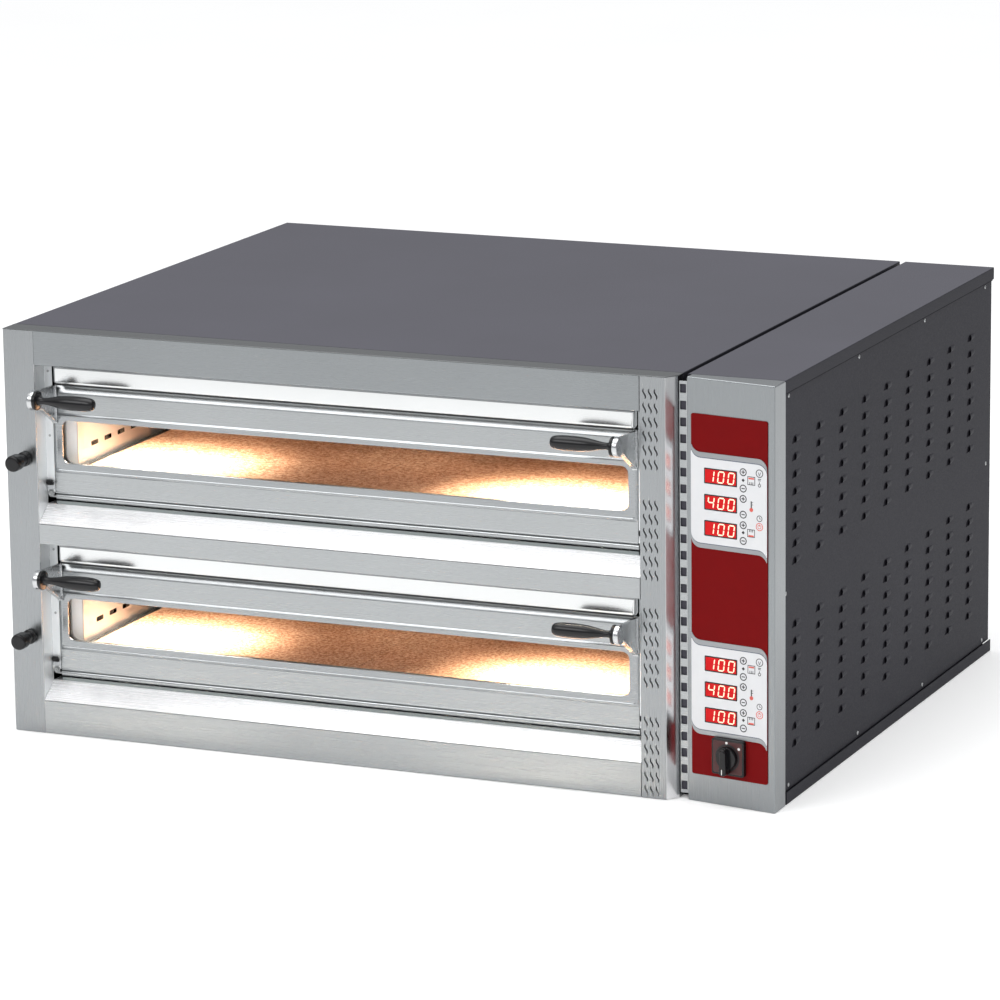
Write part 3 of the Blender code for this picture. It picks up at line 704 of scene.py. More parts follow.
def screwHead(center, axis, radius=0.0038, height=0.0012, socket=0.38):
    # a domed head with a round socket
    profile = [(0, -0.0008), (radius, -0.0008), (radius, 0.0)]
    profile += [(radius * 0.93, height * 0.55), (radius * 0.7, height * 0.9)]
    profile += [(radius * socket * 1.15, height), (radius * socket, height * 0.9)]
    profile += [(radius * socket, height * 0.1), (0, 0)]
    return turned(profile, center, axis, 20)


def hexHead(center, axis, radius, height):
    # a hexagonal nut with a chamfered crown and its stud
    profile = [(0, 0), (radius, 0), (radius, height * 0.8), (radius * 0.86, height), (0, height)]
    stud = [(0, height * 0.5), (radius * 0.45, height * 0.5), (radius * 0.45, height * 1.35)]
    stud += [(radius * 0.35, height * 1.5), (0, height * 1.5)]
    return [turned(profile, center, axis, 6), turned(stud, center, axis, 16)]


def screwGrid(spots, level, axis, **sizes):
    # screw heads at (across, up) spots of one flat face, seen along the x or y axis
    run = [abs(value) for value in axis].index(1)
    places = [(level, a, b) if run == 0 else (a, level, b) for a, b in spots]
    return [screwHead(place, axis, **sizes) for place in places]


cover = {
    "skirt": casing["skirt"],
    "gap": 0.0003,
    "controlLeft": 1.308,
    "controlFront": 0.040,
    "shadowStripWide": 0.0026,
    "shadowStripSunk": 0.0012,
    "panThick": 0.002,
}


def buildCovers():
    # folded lids with skirts as dark as the side panels, the darker side coat being painted shade
    # on upright faces; dark strips of painted shadow under the skirts; and the pan underneath
    height, skirt, gap, depth = casing["height"], cover["skirt"], cover["gap"], casing["depth"]
    split, width, fold = casing["split"], casing["width"], casing["height"] - cover["skirt"]
    main = [(split, fold), (split, height), (0, height), (0, fold)]
    side = [
        (width, fold), (width, height), (cover["controlLeft"], height), (cover["controlLeft"], fold)
    ]
    for name, node, corners, front in (
        ("topCover", "top_cover", main, casing["fasciaDepth"]),
        ("controlCover", "control_cover", side, cover["controlFront"]),
    ):
        sheet = foldedSheet(corners, "Y", front + gap, depth)
        lid = addPiece(name, *sheet, finish["slate"], instead=node, slot="slate_paint")
        # faces turned to the sides take the darker coat: painted shade on the skirts
        paintFaces(lid, [finish["slateSide"]], abs(faceArrays(lid)[0][:, 0]) > 0.8)
    wide, sunk = cover["shadowStripWide"], cover["shadowStripSunk"]
    # dark strips tucked under the skirts' lower edges: painted shadow along the gap below each
    # skirt
    for name, x in (("controlCoverShadowStrip", width - sunk - wide), ("topCoverShadowStrip", sunk)):
        low = (x, casing["fasciaDepth"], fold - wide)
        high = (x + wide, depth - 0.004, fold - 0.0001)
        shadowStrip = roundedBox(low, high, "Y", 0.0003, 0.0002)
        addPiece(name, *shadowStrip, finish["slateDeep"], slot="slate_paint")
    thick, tray = cover["panThick"], [(0, skirt), (0, 0), (width, 0), (width, skirt)]
    pan = foldedSheet(tray, "Y", casing["fasciaDepth"] + thick, depth, thick)
    addPiece("basePan", *pan, finish["slateSide"], instead="base_pan", slot="slate_paint")


louvre = {
    "columns": 9,
    "firstColumn": 0.107,
    "columnPitch": 0.119,
    "rowPitch": 0.0304,
    "rowTops": (0.637, 0.312),
    "rows": 8,
    "mouth": 0.024,
    "tall": 0.0116,
    "tail": 0.028,
    "proud": 0.0028,
    "sheet": 0.0007,
    "hoodBack": 0.0035,
}


def louvrePlaces():
    # distances from the control box's front edge, and heights
    columns = louvre["firstColumn"] + louvre["columnPitch"] * np.arange(louvre["columns"])
    steps = louvre["rowPitch"] * np.arange(louvre["rows"])
    rows = np.concatenate([top - steps for top in louvre["rowTops"]])
    return [(y - casing["nose"], z) for y in columns for z in rows]


def louvreHole(skin, y, z):
    # a bell outline: flat at its foot and narrow at its top, drawn through the sheet
    t = np.linspace(-1, 1, 9)
    foot = z - louvre["tall"] / 2
    half = louvre["mouth"] / 2
    crown = louvre["tall"] * np.cos(t * math.pi / 2) ** 1.3
    sweep = np.column_stack([y + half * np.sin(t * math.pi / 2), foot + crown])
    return slab(sweep, skin - 0.004, skin + 0.004, "X", 0.0)


def louvreHood(skin, outward, y, z):
    # a scoop: half a dome at its mouth that dies into the sheet towards the back
    u, v = np.meshgrid(np.linspace(0, 1, 7), np.linspace(-1, 1, 9), indexing="ij")
    rise = louvre["proud"] * (1 - u) ** 0.9 * (1 - v**2) ** 0.6
    along = y + louvre["hoodBack"] + louvre["tail"] * u
    up = z + v * louvre["tall"] / 2 * (1.15 - 0.45 * u)
    outer = np.stack([skin + outward * (rise + 0.0002), along, up], -1)
    inner = np.stack([skin + outward * (rise - louvre["sheet"]), along, up], -1)
    rows, columns = u.shape
    points = np.concatenate([outer.reshape(-1, 3), inner.reshape(-1, 3)])
    top = bridge(rows, columns, wrapColumns=False)
    below = [[index + rows * columns for index in face[::-1]] for face in top]
    grid = np.arange(rows * columns).reshape(rows, columns)
    border = np.concatenate([grid[0, :-1], grid[:-1, -1], grid[-1, :0:-1], grid[:0:-1, 0]])
    after = np.roll(border, -1)
    lip = np.stack([border, after, after + rows * columns, border + rows * columns], -1)
    return points, top + below + lip.tolist()


sidePanel = {
    "sunk": 0.004,
    "low": 0.0228,
    "high": 0.7272,
    "rear": 1.178,
    "backing": (0.0011, 0.0019),  # its two faces' depths behind the skin
    "backingHeights": (0.060, 0.680),
    "screwColumns": (0.078, 0.437, 0.796, 1.150),
    "screwRows": (0.719, 0.031),
    "middleColumns": (0.063, 1.164),
    "middleRow": 0.375,
}


def buildSidePanel(name, node, skin, outward, front):
    # a sunk sheet with punched scoops, a backing and screws along its edges
    rear, edge = sidePanel["rear"], 0.040
    low, high = sorted((skin - outward * casing["sheet"], skin))
    corners = (low, front, sidePanel["low"]), (high, rear, sidePanel["high"])
    places = louvrePlaces()
    holes = [louvreHole(skin, y, z) for y, z in places]
    body = carve(roundedBox(*corners, "X", 0.002, 0.0003), holes)
    hoods = [louvreHood(skin, outward, y, z) for y, z in places]
    addShells(name, [body] + hoods, finish["slateSide"], instead=node, slot="slate_paint")
    # a real sheet behind the scoops; its near-black coat is painted shade inside their mouths
    near, far = sorted(skin - outward * depth for depth in sidePanel["backing"])
    foot, top = sidePanel["backingHeights"]
    backing = roundedBox((near, front + edge, foot), (far, rear - edge, top), "X", 0.004, 0.0002)
    addPiece(name + "Backing", *backing, finish["slateDeep"], slot="slate_paint")
    spots = [(y, z) for y in sidePanel["screwColumns"] for z in sidePanel["screwRows"]]
    spots += [(y, sidePanel["middleRow"]) for y in sidePanel["middleColumns"]]
    spots = [(y - casing["nose"], z) for y, z in spots]
    screws = screwGrid(spots, skin, (outward, 0, 0))
    addShells(name + "Screws", screws, finish["zinc"], slot="zinc_plate")


backSheet = {
    "proud": 0.0013,  # the screw heads stand this far past the skin
    "left": 0.006,
    "low": 0.0025,
    "high": 0.7482,
    "flue": (0.140, 0.235),
    "flueRound": 0.040,
    "screwColumns": (0.020, 0.330, 0.650, 0.970, 1.282),
    "screwRows": (0.016, 0.734),
    "middleColumns": (0.020, 1.282),
    "middleRow": 0.375,
    "collar": (
        (0.0400, -0.0012), (0.0400, -0.020), (0.0385, -0.020), (0.0385, 0.0009), (0.0405, 0.0012),
        (0.0455, 0.0010), (0.0460, 0.0), (0.0405, 0.0), (0.0400, -0.0012),
    ),
}


def buildBack():
    # the back skin with a flue hole for each deck, its screws standing to the casing's depth
    skin, sheet = casing["depth"] - backSheet["proud"], casing["sheet"]
    low = (backSheet["left"], skin - sheet, backSheet["low"])
    high = (casing["split"] - 0.002, skin, backSheet["high"])
    blank = roundedBox(low, high, "Y", 0.003, 0.0003)
    holes, collars = [], []
    for lift in decks.values():
        x, z = backSheet["flue"][0], backSheet["flue"][1] + lift
        hole = circleOutline(x, z, backSheet["flueRound"], 48)
        holes.append(slab(hole, skin - 0.01, skin + 0.01, "Y", 0.0))
        collars.append(turned(backSheet["collar"], (x, skin, z), (0, 1, 0), 64))
    skinPiece = carve(blank, holes)
    addPiece("backPanel", *skinPiece, finish["slateSide"], instead="back_panel", slot="slate_paint")
    addShells("flueCollars", collars, finish["zinc"], slot="zinc_plate")
    spots = [(x, z) for x in backSheet["screwColumns"] for z in backSheet["screwRows"]]
    spots += [(x, backSheet["middleRow"]) for x in backSheet["middleColumns"]]
    screws = screwGrid(spots, skin, (0, 1, 0))
    addShells("backPanelScrews", screws, finish["zinc"], slot="zinc_plate")


buildCovers()
buildSidePanel("leftSidePanel", "left_side_panel", sidePanel["sunk"], -1, 0.0453)
buildSidePanel(
    "controlSidePanel", "control_side_panel", casing["width"] - sidePanel["sunk"], 1, 0.0403
)
buildBack()
print("casing ready")


fascia = {
    "leftSeam": 0.062,
    "rightSeam": 1.234,
    "corner": 1.281,
    "chamfer": 0.023,
    "recess": 0.0365,
    "jamb": 0.016,
    "low": 0.001,
    "high": 0.7482,
    "slotColumns": (1.2435, 1.2540, 1.2645),
    "slotGroups": (0.718, 0.523, 0.332, 0.138),
    "slotPitch": 0.0247,
    "slotTall": 0.0185,
    "slotWide": 0.0025,
    "slotSway": 0.0017,
    "slotLean": 0.0012,
    "slotRows": 6,
    "notch": (0.060, 0.114),  # heights of the cut beside each door's hinge
    "knob": (0.038, 0.181),
    "knobHole": 0.0042,
    "bandTop": 0.355,
    "bandLow": 0.0612,
    "sillPath": ((0.069, 0.0925), (0.038, 0.0925), (0, 0.063)),
    "lipDepths": (0.0388, 0.0402),
    "lipHeights": (0.0922, 0.0985),
}


door = {
    "left": 0.0785,
    "right": 1.2175,
    "low": 0.1125,
    "high": 0.314,
    "front": 0.0362,
    "back": 0.060,
    "topDepths": (0.0, 0.0004, 0.0010, 0.0058, 0.0068, 0.0080),
    "topInsets": (0.0165, 0.0145, 0.0128, 0.0020, 0.0006, 0.0),
    "footRoll": 0.0035,
    "sideRoll": 0.0015,
    "sheet": 0.0012,
    "frameLow": 0.1515,
    "frameHigh": 0.2625,
    "frameFront": 0.0338,
    "windowMargin": 0.0185,
    "windowLow": 0.170,
    "windowHigh": 0.249,
    "windowRound": 0.013,
    "hingeY": 0.043,
    "hingeZ": 0.106,
    "paneInset": 0.0105,
    "paneDepths": (0.0384, 0.0424),
    "paneHeights": (0.162, 0.257),
    "panBack": 0.0590,
    "panFront": 0.0578,
    "panLow": 0.1148,
    "panHigh": 0.3117,
    "panInset": 0.0023,
    "panScrewColumns": (0.100, 0.374, 0.648, 0.922, 1.196),
    "panScrewRows": (0.1255, 0.2985),
}


def slotCutter(x, z):
    # an S-shaped ribbon: a sine line leaning from upper left to lower right, narrower at its tips
    t = np.linspace(-1, 1, 15)
    across = x + fascia["slotLean"] * t + fascia["slotSway"] * np.sin(t * math.pi)
    middle = np.column_stack([across, z - t * fascia["slotTall"] / 2])
    width = fascia["slotWide"] * (1 - 0.72 * t**4) / 2
    side = pathNormals(middle) * width[:, None]
    return slab(np.concatenate([middle + side, (middle - side)[::-1]]), -0.004, 0.006, "Y", 0.0)


def buildPillars():
    # two folded posts, notched for the hinges, the left drilled for the knobs, the right slotted
    depth, jamb, recess = casing["fasciaDepth"], fascia["jamb"], fascia["recess"]
    leftSeam, rightSeam, edge = fascia["leftSeam"], fascia["rightSeam"], casing["split"] - 0.001
    low, high = fascia["low"], fascia["high"]
    left = [(0, depth), (0, 0), (leftSeam, 0), (leftSeam, recess), (leftSeam + jamb, recess)]
    right = [(rightSeam - jamb, recess), (rightSeam, recess), (rightSeam, 0)]
    right += [(fascia["corner"], 0), (edge, fascia["chamfer"]), (edge, depth)]
    cuts = {"left": [], "right": []}
    rods = []
    for lift in decks.values():
        foot, top = fascia["notch"]
        for side, x in (("left", leftSeam + 0.0003), ("right", rightSeam - jamb - 0.001)):
            start = (x, recess - 0.003, foot + lift)
            end = (x + jamb + 0.0007, recess + 0.005, top + lift)
            cuts[side].append(roundedBox(start, end, "Y", 0.0, 0.0, 1))
        x, z = fascia["knob"]
        rods.append(slab(circleOutline(x, z + lift, fascia["knobHole"]), -0.01, 0.01, "Y", 0.0))
    cuts["left"] += rods
    for x in fascia["slotColumns"]:
        for top in fascia["slotGroups"]:
            rows = top - fascia["slotPitch"] * np.arange(fascia["slotRows"])
            cuts["right"] += [slotCutter(x, z) for z in rows]
    for side, corners in (("left", left), ("right", right)):
        post = carve(foldedSheet(corners, "Z", low, high), cuts[side])
        node = f"{side}_pillar"
        pillar = addPiece(
            f"{side}Pillar", *post, finish["upright"], instead=node, slot="satin_steel"
        )
        # the reveals take a much lighter steel, painted light on the recess walls; the chamfer is
        # polished, and its lighter steel is a painted highlight
        normals, middles = faceArrays(pillar)
        polishedAndLit = (normals[:, 0] > 0.7) & (normals[:, 1] < -0.5)
        litReveal = (middles[:, 1] > 0.003) & (middles[:, 0] <= edge - 0.003)
        index = np.where(polishedAndLit, 2, np.where(litReveal, 1, 0))
        paintFaces(pillar, [finish["litReveal"], finish["chamfer"]], index)


def buildTrim():
    # the top plate with its chamfered corner, three bands, and each deck's sloping sill and lip
    split, depth, top = casing["split"], casing["fasciaDepth"], casing["height"]
    corner = [(0, 0), (fascia["corner"], 0), (split, fascia["chamfer"]), (split, depth), (0, depth)]
    trim = slab(corner, top - casing["sheet"], top, "Z", 0.0, 0.0013)
    # the top plate takes the dark steel: painted reflection
    addPiece("frontTopTrim", *trim, finish["trim"], instead="front_top_trim", slot="satin_steel")
    ends = fascia["leftSeam"] + 0.0003, fascia["rightSeam"] - 0.0003
    lift, recess = casing["deckPitch"], fascia["recess"]
    for name, node, high, low in (
        ("topBand", "top_band", fascia["high"], fascia["bandTop"] + lift),
        ("middleBand", "middle_band", fascia["bandLow"] + lift, fascia["bandTop"]),
        ("bottomBand", "bottom_band", fascia["bandLow"], fascia["low"]),
    ):
        band = foldedSheet([(0, high), (0, low), (recess - 0.002, low)], "X", *ends)
        look = finish["deep" if name == "topBand" else "satin"]
        addPiece(name, *band, look, instead=node, slot="satin_steel")
    for deck, lift in decks.items():
        path = [(y, z + lift) for y, z in fascia["sillPath"]]
        sill = foldedSheet(path, "X", *ends, bend=0.004)
        node = f"sill_{deck}"
        # the sills take the near-white steel: painted light on their slopes
        addPiece(f"{deck}Sill", *sill, finish["sill"], instead=node, slot="bright_steel")
        (front, rear), (foot, rim) = fascia["lipDepths"], fascia["lipHeights"]
        low = (door["left"] + 0.001, front, foot + lift)
        high = (door["right"] - 0.001, rear, rim + lift)
        lip = roundedBox(low, high, "X", 0.0006, 0.0004)
        addPiece(f"{deck}SillLip", *lip, finish["lip"], slot="satin_steel")


visor = {
    "left": 0.0885,
    "right": 1.2168,
    "front": 0.020,
    "back": 0.046,
    "low": 0.317,
    "high": 0.3543,
    "round": 0.0075,
}


def buildVisor(deck, lift):
    # a hood with a full roll along its front and softly rounded ends
    low = np.array([visor["left"], visor["front"], visor["low"] + lift])
    high = np.array([visor["right"], visor["back"], visor["high"] + lift])
    hood = roundedBox(low, high, "X", visor["round"], 0.006, 7)
    addPiece(f"{deck}Visor", *hood, finish["visor"], instead=f"visor_{deck}", slot="bright_steel")
    # a black strip under the visor's front edge: painted shadow in the gap between visor and door
    start = (low[0] + 0.004, low[1] + 0.0014, low[2] - 0.0007)
    end = (high[0] - 0.004, low[1] + 0.010, low[2] + 0.0022)
    shadowStrip = roundedBox(start, end, "X", 0.001, 0.001)
    addPiece(f"{deck}VisorShadowStrip", *shadowStrip, finish["blackMatt"], slot="black_plastic")


buildPillars()
buildTrim()
for deck, lift in decks.items():
    buildVisor(deck, lift)
print("fascia ready")


def windowLoop(grow, level, lift):
    # the window's rounded outline at one depth, grown by a margin
    side = door["windowMargin"] - grow
    low = (door["left"] + side, door["windowLow"] - grow + lift)
    high = (door["right"] - side, door["windowHigh"] + grow + lift)
    return ringLoop(low, high, door["windowRound"] + grow, level)


def doorSkin(lift):
    # rectangles stepped round the rolled edges, in to the window, and back along the inner face
    def edgeInset(depth, radius):
        # radius less the root of radius^2 - (radius - depth)^2
        return 0.0 if depth >= radius else radius - math.sqrt(radius**2 - (radius - depth) ** 2)

    def rectangle(depth, level, extra=0.0):
        # the door's outline at a depth under its rolled edges
        side = edgeInset(depth, door["sideRoll"]) + extra
        foot = door["low"] + edgeInset(depth, door["footRoll"]) + extra + lift
        top = door["high"] - np.interp(depth, door["topDepths"], door["topInsets"]) - extra + lift
        return ringLoop((door["left"] + side, foot), (door["right"] - side, top), 0.0025, level)

    depths = (0.0080, 0.0068, 0.0058, 0.0045, 0.0030, 0.0018, 0.0010, 0.0004, 0.0)
    front, sheet = door["front"], door["sheet"]
    loops = [rectangle(1.0, door["back"])] + [rectangle(d, front + d) for d in depths]
    loops += [windowLoop(0.0024, level, lift) for level in (front, front + sheet)]
    loops += [rectangle(d, front + d + sheet, sheet) for d in depths[::-1]]
    loops.append(rectangle(1.0, door["back"], sheet))
    return loft(loops, ring=True)


def windowFrame(lift):
    # a raised frame with beaded long edges round the window, as (inset, depth) steps
    def outer(inset, level):
        # the frame's outline, inset at one depth
        low = (door["left"] + 0.0008 + inset, door["frameLow"] + inset + lift)
        high = (door["right"] - 0.0008 - inset, door["frameHigh"] - inset + lift)
        return ringLoop(low, high, 0.004, level)

    front, rear = door["frameFront"], door["front"] + 0.0004
    outside = [(0, rear), (0, front + 0.0022), (0.0005, front + 0.0016), (0.0040, front + 0.0002)]
    outside += [(0.0048, front), (0.0056, front + 0.0002)]
    outside += [(0.0064, front + 0.0008), (0.0072, front + 0.0009)]
    inside = [(0.0010, front + 0.0009), (0.0003, front + 0.0012), (0, front + 0.0020)]
    inside += [(0, rear + 0.0015), (0.002, rear + 0.0015), (0.002, rear)]
    loops = [outer(*step) for step in outside] + [windowLoop(*step, lift) for step in inside]
    return loft(loops, ring=True)


def innerPan(lift):
    # the pan that closes the door's back: a pressed bead round it and its own window
    inset = door["panInset"]
    low = (door["left"] + inset, door["panLow"] + lift)
    high = (door["right"] - inset, door["panHigh"] + lift)

    def outer(inset, level):
        # the pan's outline, inset at one depth
        corner = (low[0] + inset, low[1] + inset)
        return ringLoop(corner, (high[0] - inset, high[1] - inset), 0.003, level)

    rear, front = door["panBack"], door["panFront"]
    skin = [(0, front), (0, rear - 0.0003), (0.0003, rear), (0.007, rear)]
    skin += [(0.008, rear - 0.0012), (0.010, rear - 0.0012), (0.011, rear)]
    rim = [(0.006, rear), (0.0045, rear - 0.0004), (0.004, rear - 0.0015), (0.004, front - 0.004)]
    rim += [(0.005, front - 0.004), (0.005, front - 0.0004)]
    under = [(0.012, front - 0.0004), (0.007, front - 0.0014), (0.003, front)]
    loops = [outer(*step) for step in skin] + [windowLoop(*step, lift) for step in rim]
    return loft(loops + [outer(*step) for step in under], ring=True)


ear = {
    "thick": 0.010,
    "bossY": -0.046,
    "bossZ": 0.301,
    "bossRound": 0.0176,
    "webThick": 0.0055,
    "webInset": 0.0022,
    "rootDepths": (0.0310, 0.0347),
    "rootHeights": (0.2440, 0.3135),
    "grip": (
        (0, 0), (0.0156, 0), (0.0172, 0.0010), (0.0176, 0.0030), (0.0169, 0.0052), (0.0120, 0.0066),
        (0.0078, 0.0090), (0.0062, 0.0140), (0.0064, 0.0200), (0.0075, 0.0280), (0.0094, 0.0380),
        (0.0112, 0.0480), (0.0125, 0.0600), (0.0132, 0.0760), (0.0131, 0.0920), (0.0124, 0.1040),
        (0.0106, 0.1130), (0.0070, 0.1175), (0.0, 0.1190),
    ),
}


def earWeb(x0, x1, lift):
    # the ear's side view: a flat top, a round nose and a slanting foot, as a cast plate
    y, z, r = ear["bossY"], ear["bossZ"], ear["bossRound"] - 0.0008
    angles = np.radians(np.linspace(92, 312, 22))
    nose = np.column_stack([y + r * np.cos(angles), z + r * np.sin(angles)])
    outline = np.concatenate([[[0.0346, 0.3135]], nose, [[-0.021, 0.2790], [0.0346, 0.2440]]])
    outline[:, 1] += lift
    return slab(outline, x0, x1, "X", 0.0014)


def earRim(x0, x1, lift):
    # the flange along the ear's slanting foot
    under = [[-0.0325, 0.2875], [-0.022, 0.2800], [0.0343, 0.2443]]
    path = np.array(under + [[0.0343, 0.2475], [-0.020, 0.2822], [-0.0305, 0.2900]])
    path[:, 1] += lift
    return slab(path, x0, x1, "X", 0.0006)


def buildEar(deck, lift, side):
    # a cast bracket at one end of the door: web, flange, boss and root, with its bolt and grip
    outer = door["left"] if side == "left" else door["right"]
    inward = 1 if side == "left" else -1
    near, far = sorted(
        outer + inward * x for x in (ear["webInset"], ear["webInset"] + ear["webThick"])
    )
    web = earWeb(near, far, lift)
    rimEdge = outer + inward * ear["thick"]
    start, end = sorted((outer, rimEdge))
    rim = earRim(start, end, lift)
    r, axis = ear["bossRound"], (inward, 0, 0)
    boss = [(0, 0), (r - 0.0022, 0), (r - 0.0007, 0.0006), (r, 0.0020), (r, 0.0082)]
    boss += [(r - 0.0008, 0.0096), (r - 0.002, 0.0100), (0, 0.0100)]
    center = np.array([outer, ear["bossY"], ear["bossZ"] + lift])
    disc = turned(boss, center, axis, 56)
    (front, rear), (foot, top) = ear["rootDepths"], ear["rootHeights"]
    root = roundedBox((start, front, foot + lift), (end, rear, top + lift), "X", 0.0012, 0.0008)
    name, facts = f"{deck}{side.title()}", {"body": f"door_{deck}"}
    node = f"door_ear_{side}_{deck}"
    cast = [web, rim, disc, root]
    addShells(name + "Ear", cast, finish["cast"], instead=node, slot="satin_steel", **facts)
    bolt = screwHead(center + [inward * 0.0012, 0, 0], (-inward, 0, 0), 0.0062, 0.0012, 0.5)
    addShells(name + "EarBolt", [bolt], finish["zinc"], slot="zinc_plate", **facts)
    gripFoot = (rimEdge + inward * 0.0003, center[1], center[2])
    grip = turned(smoothProfile(ear["grip"], 5), gripFoot, axis, 48)
    facts.update(smoothAngle=50, instead=f"door_grip_{side}_{deck}")
    addPiece(name + "Grip", *grip, finish["black"], slot="black_plastic", **facts)


hinge = {
    "spots": {"left": 0.0700, "right": 1.2260},
    "spring": (0.0312, 0.1330),
    "coil": 0.0042,
    "coilWire": 0.0010,
    "coilTurns": 5,
    "coilReach": 0.0055,
    "nut": (0.0362, 0.1125),
    "barStart": 0.064,
    "jambColumns": (0.0702, 1.2258),
    "jambRows": (0.2190, 0.3380),
}


def buildHingeEnd(deck, lift, side):
    # a bush, its spring and two nuts on the jamb beside the door's foot; the spring is a helix:
    # x runs evenly while y and z go round a circle
    x, (y, z), reach = hinge["spots"][side], hinge["spring"], hinge["coilReach"]
    t = np.linspace(0, 1, 90)
    turn, z = hinge["coilTurns"] * tau * t, z + lift
    around = y + hinge["coil"] * np.cos(turn), z + hinge["coil"] * np.sin(turn)
    coil = tube(np.column_stack([x - reach + 2 * reach * t, *around]), hinge["coilWire"], 8)
    rod = [(0, 0), (0.0026, 0), (0.0026, 0.0124), (0, 0.0124)]
    core = turned(rod, (x - 0.0062, y, z), (1, 0, 0), 20)
    name = f"{deck}{side.title()}"
    addShells(name + "HingeSpring", [coil, core], finish["blackMatt"], slot="black_plastic")
    low, high = (x - 0.0066, 0.0335, 0.1195 + lift), (x + 0.0066, 0.0363, 0.1290 + lift)
    bracket = roundedBox(low, high, "X", 0.0012, 0.0006)
    addShells(name + "HingeBracket", [bracket], finish["cast"], slot="satin_steel")
    y, z = hinge["nut"][0], hinge["nut"][1] + lift
    nuts = hexHead((x, y, z), (0, -1, 0), 0.0052, 0.0042)
    flat = [
        (0.003, 0), (0.003, 0.0009), (0.0066, 0.0009), (0.0068, 0.0004), (0.0068, 0), (0.003, 0)
    ]
    washer = turned(flat, (x, y + 0.0002, z), (0, -1, 0), 28)
    addShells(name + "HingeNuts", nuts + [washer], finish["zinc"], slot="zinc_plate")


def buildDoor(deck, lift):
    # the folded skin, window frame, hinge roll and bar, inner pan, glass, ears and hinge ends
    facts, left, right = {
        "body": f"door_{deck}", "slot": "satin_steel"
    }, door["left"], door["right"]
    node = f"door_shell_{deck}"
    addPiece(f"{deck}DoorSkin", *doorSkin(lift), finish["satin"], instead=node, **facts)
    # the window frame takes the darker steel: painted shade
    addPiece(f"{deck}WindowFrame", *windowFrame(lift), finish["frame"], **facts)
    axis, long = (door["hingeY"], door["hingeZ"] + lift), right - left
    roll = [(0.0046, 0), (0.0054, 0), (0.0060, 0.0006), (0.0060, long - 0.0006)]
    roll = turned(
        roll + [(0.0054, long), (0.0046, long), (0.0046, 0)], (left, *axis), (1, 0, 0), 32
    )
    low, high = (left + 0.001, 0.0455, 0.1085 + lift), (right - 0.001, 0.0470, 0.1160 + lift)
    web = roundedBox(low, high, "X", 0.0005, 0.0003)
    low = (left + 0.0006, door["front"] - 0.0009, 0.1125 + lift)
    high = (right - 0.0006, door["front"] + 0.0030, 0.1160 + lift)
    bead = roundedBox(low, high, "X", 0.0016, 0.0008)
    addShells(f"{deck}HingeRoll", [roll, web, bead], finish["satin"], **facts)
    rod = [(0, 0), (0.0026, 0), (0.0032, 0.0006), (0.0032, 1.1674), (0.0026, 1.168), (0, 1.168)]
    bar = turned(rod, (hinge["barStart"], *axis), (1, 0, 0), 28)
    plated, node = {**facts, "slot": "zinc_plate"}, f"door_hinge_bar_{deck}"
    addPiece(f"{deck}HingeBar", *bar, finish["zinc"], instead=node, **plated)
    node = f"door_inner_pan_{deck}"
    addPiece(f"{deck}InnerPan", *innerPan(lift), finish["satin"], instead=node, **facts)
    spots = [(x, z + lift) for x in door["panScrewColumns"] for z in door["panScrewRows"]]
    screws = screwGrid(spots, door["panBack"], (0, 1, 0), radius=0.003, height=0.0009)
    addShells(f"{deck}PanScrews", screws, finish["zinc"], **plated)
    (front, rear), (foot, top), inset = door["paneDepths"], door["paneHeights"], door["paneInset"]
    low, high = (left + inset, front, foot + lift), (right - inset, rear, top + lift)
    pane = roundedBox(low, high, "Y", 0.003, 0.0006)
    facts = {"body": f"door_{deck}", "instead": f"door_glass_{deck}", "slot": "clear_glass"}
    addPiece(f"{deck}Glass", *pane, finish["glass"], **facts)
    for side in ("left", "right"):
        buildEar(deck, lift, side)
        buildHingeEnd(deck, lift, side)


damper = {
    "foot": -0.003,
    "knob": (
        (0, 0), (0.0120, 0), (0.0135, 0.0008), (0.0135, 0.0046), (0.0122, 0.0058), (0.0108, 0.0066),
        (0.0104, 0.0110), (0.0106, 0.0170), (0.0118, 0.0208), (0.0138, 0.0238), (0.0149, 0.0275),
        (0.0150, 0.0330), (0.0150, 0.0420), (0.0146, 0.0455), (0.0130, 0.0482), (0.0090, 0.0489),
        (0, 0.0490),
    ),
    "collar": (
        (0.0045, 0), (0.0115, 0), (0.0125, 0.0005), (0.0125, 0.0015), (0.0115, 0.0022),
        (0.0055, 0.0022), (0.0045, 0.0015), (0.0045, 0),
    ),
}


def buildDamper(deck, lift):
    # a turned pull knob, and the collar that its rod runs through
    x, z = fascia["knob"][0], fascia["knob"][1] + lift
    knob = turned(smoothProfile(damper["knob"], 4), (x, damper["foot"], z), (0, -1, 0), 40)
    facts = {"body": f"damper_{deck}", "instead": f"damper_knob_{deck}", "smoothAngle": 50}
    addPiece(f"{deck}DamperKnob", *knob, finish["black"], slot="black_plastic", **facts)
    collar = turned(damper["collar"], (x, 0.0, z), (0, -1, 0), 36)
    addPiece(f"{deck}DamperCollar", *collar, finish["blackMatt"], slot="black_plastic")


for deck, lift in decks.items():
    buildDoor(deck, lift)
    buildDamper(deck, lift)
heights = [z + lift for z in hinge["jambRows"] for lift in decks.values()]
spots = [(x, z) for x in hinge["jambColumns"] for z in heights]
jambScrews = screwGrid(spots, fascia["recess"], (0, -1, 0), radius=0.0024, height=0.0008)
addShells("jambScrews", jambScrews, finish["zinc"], slot="zinc_plate")
print("doors ready")


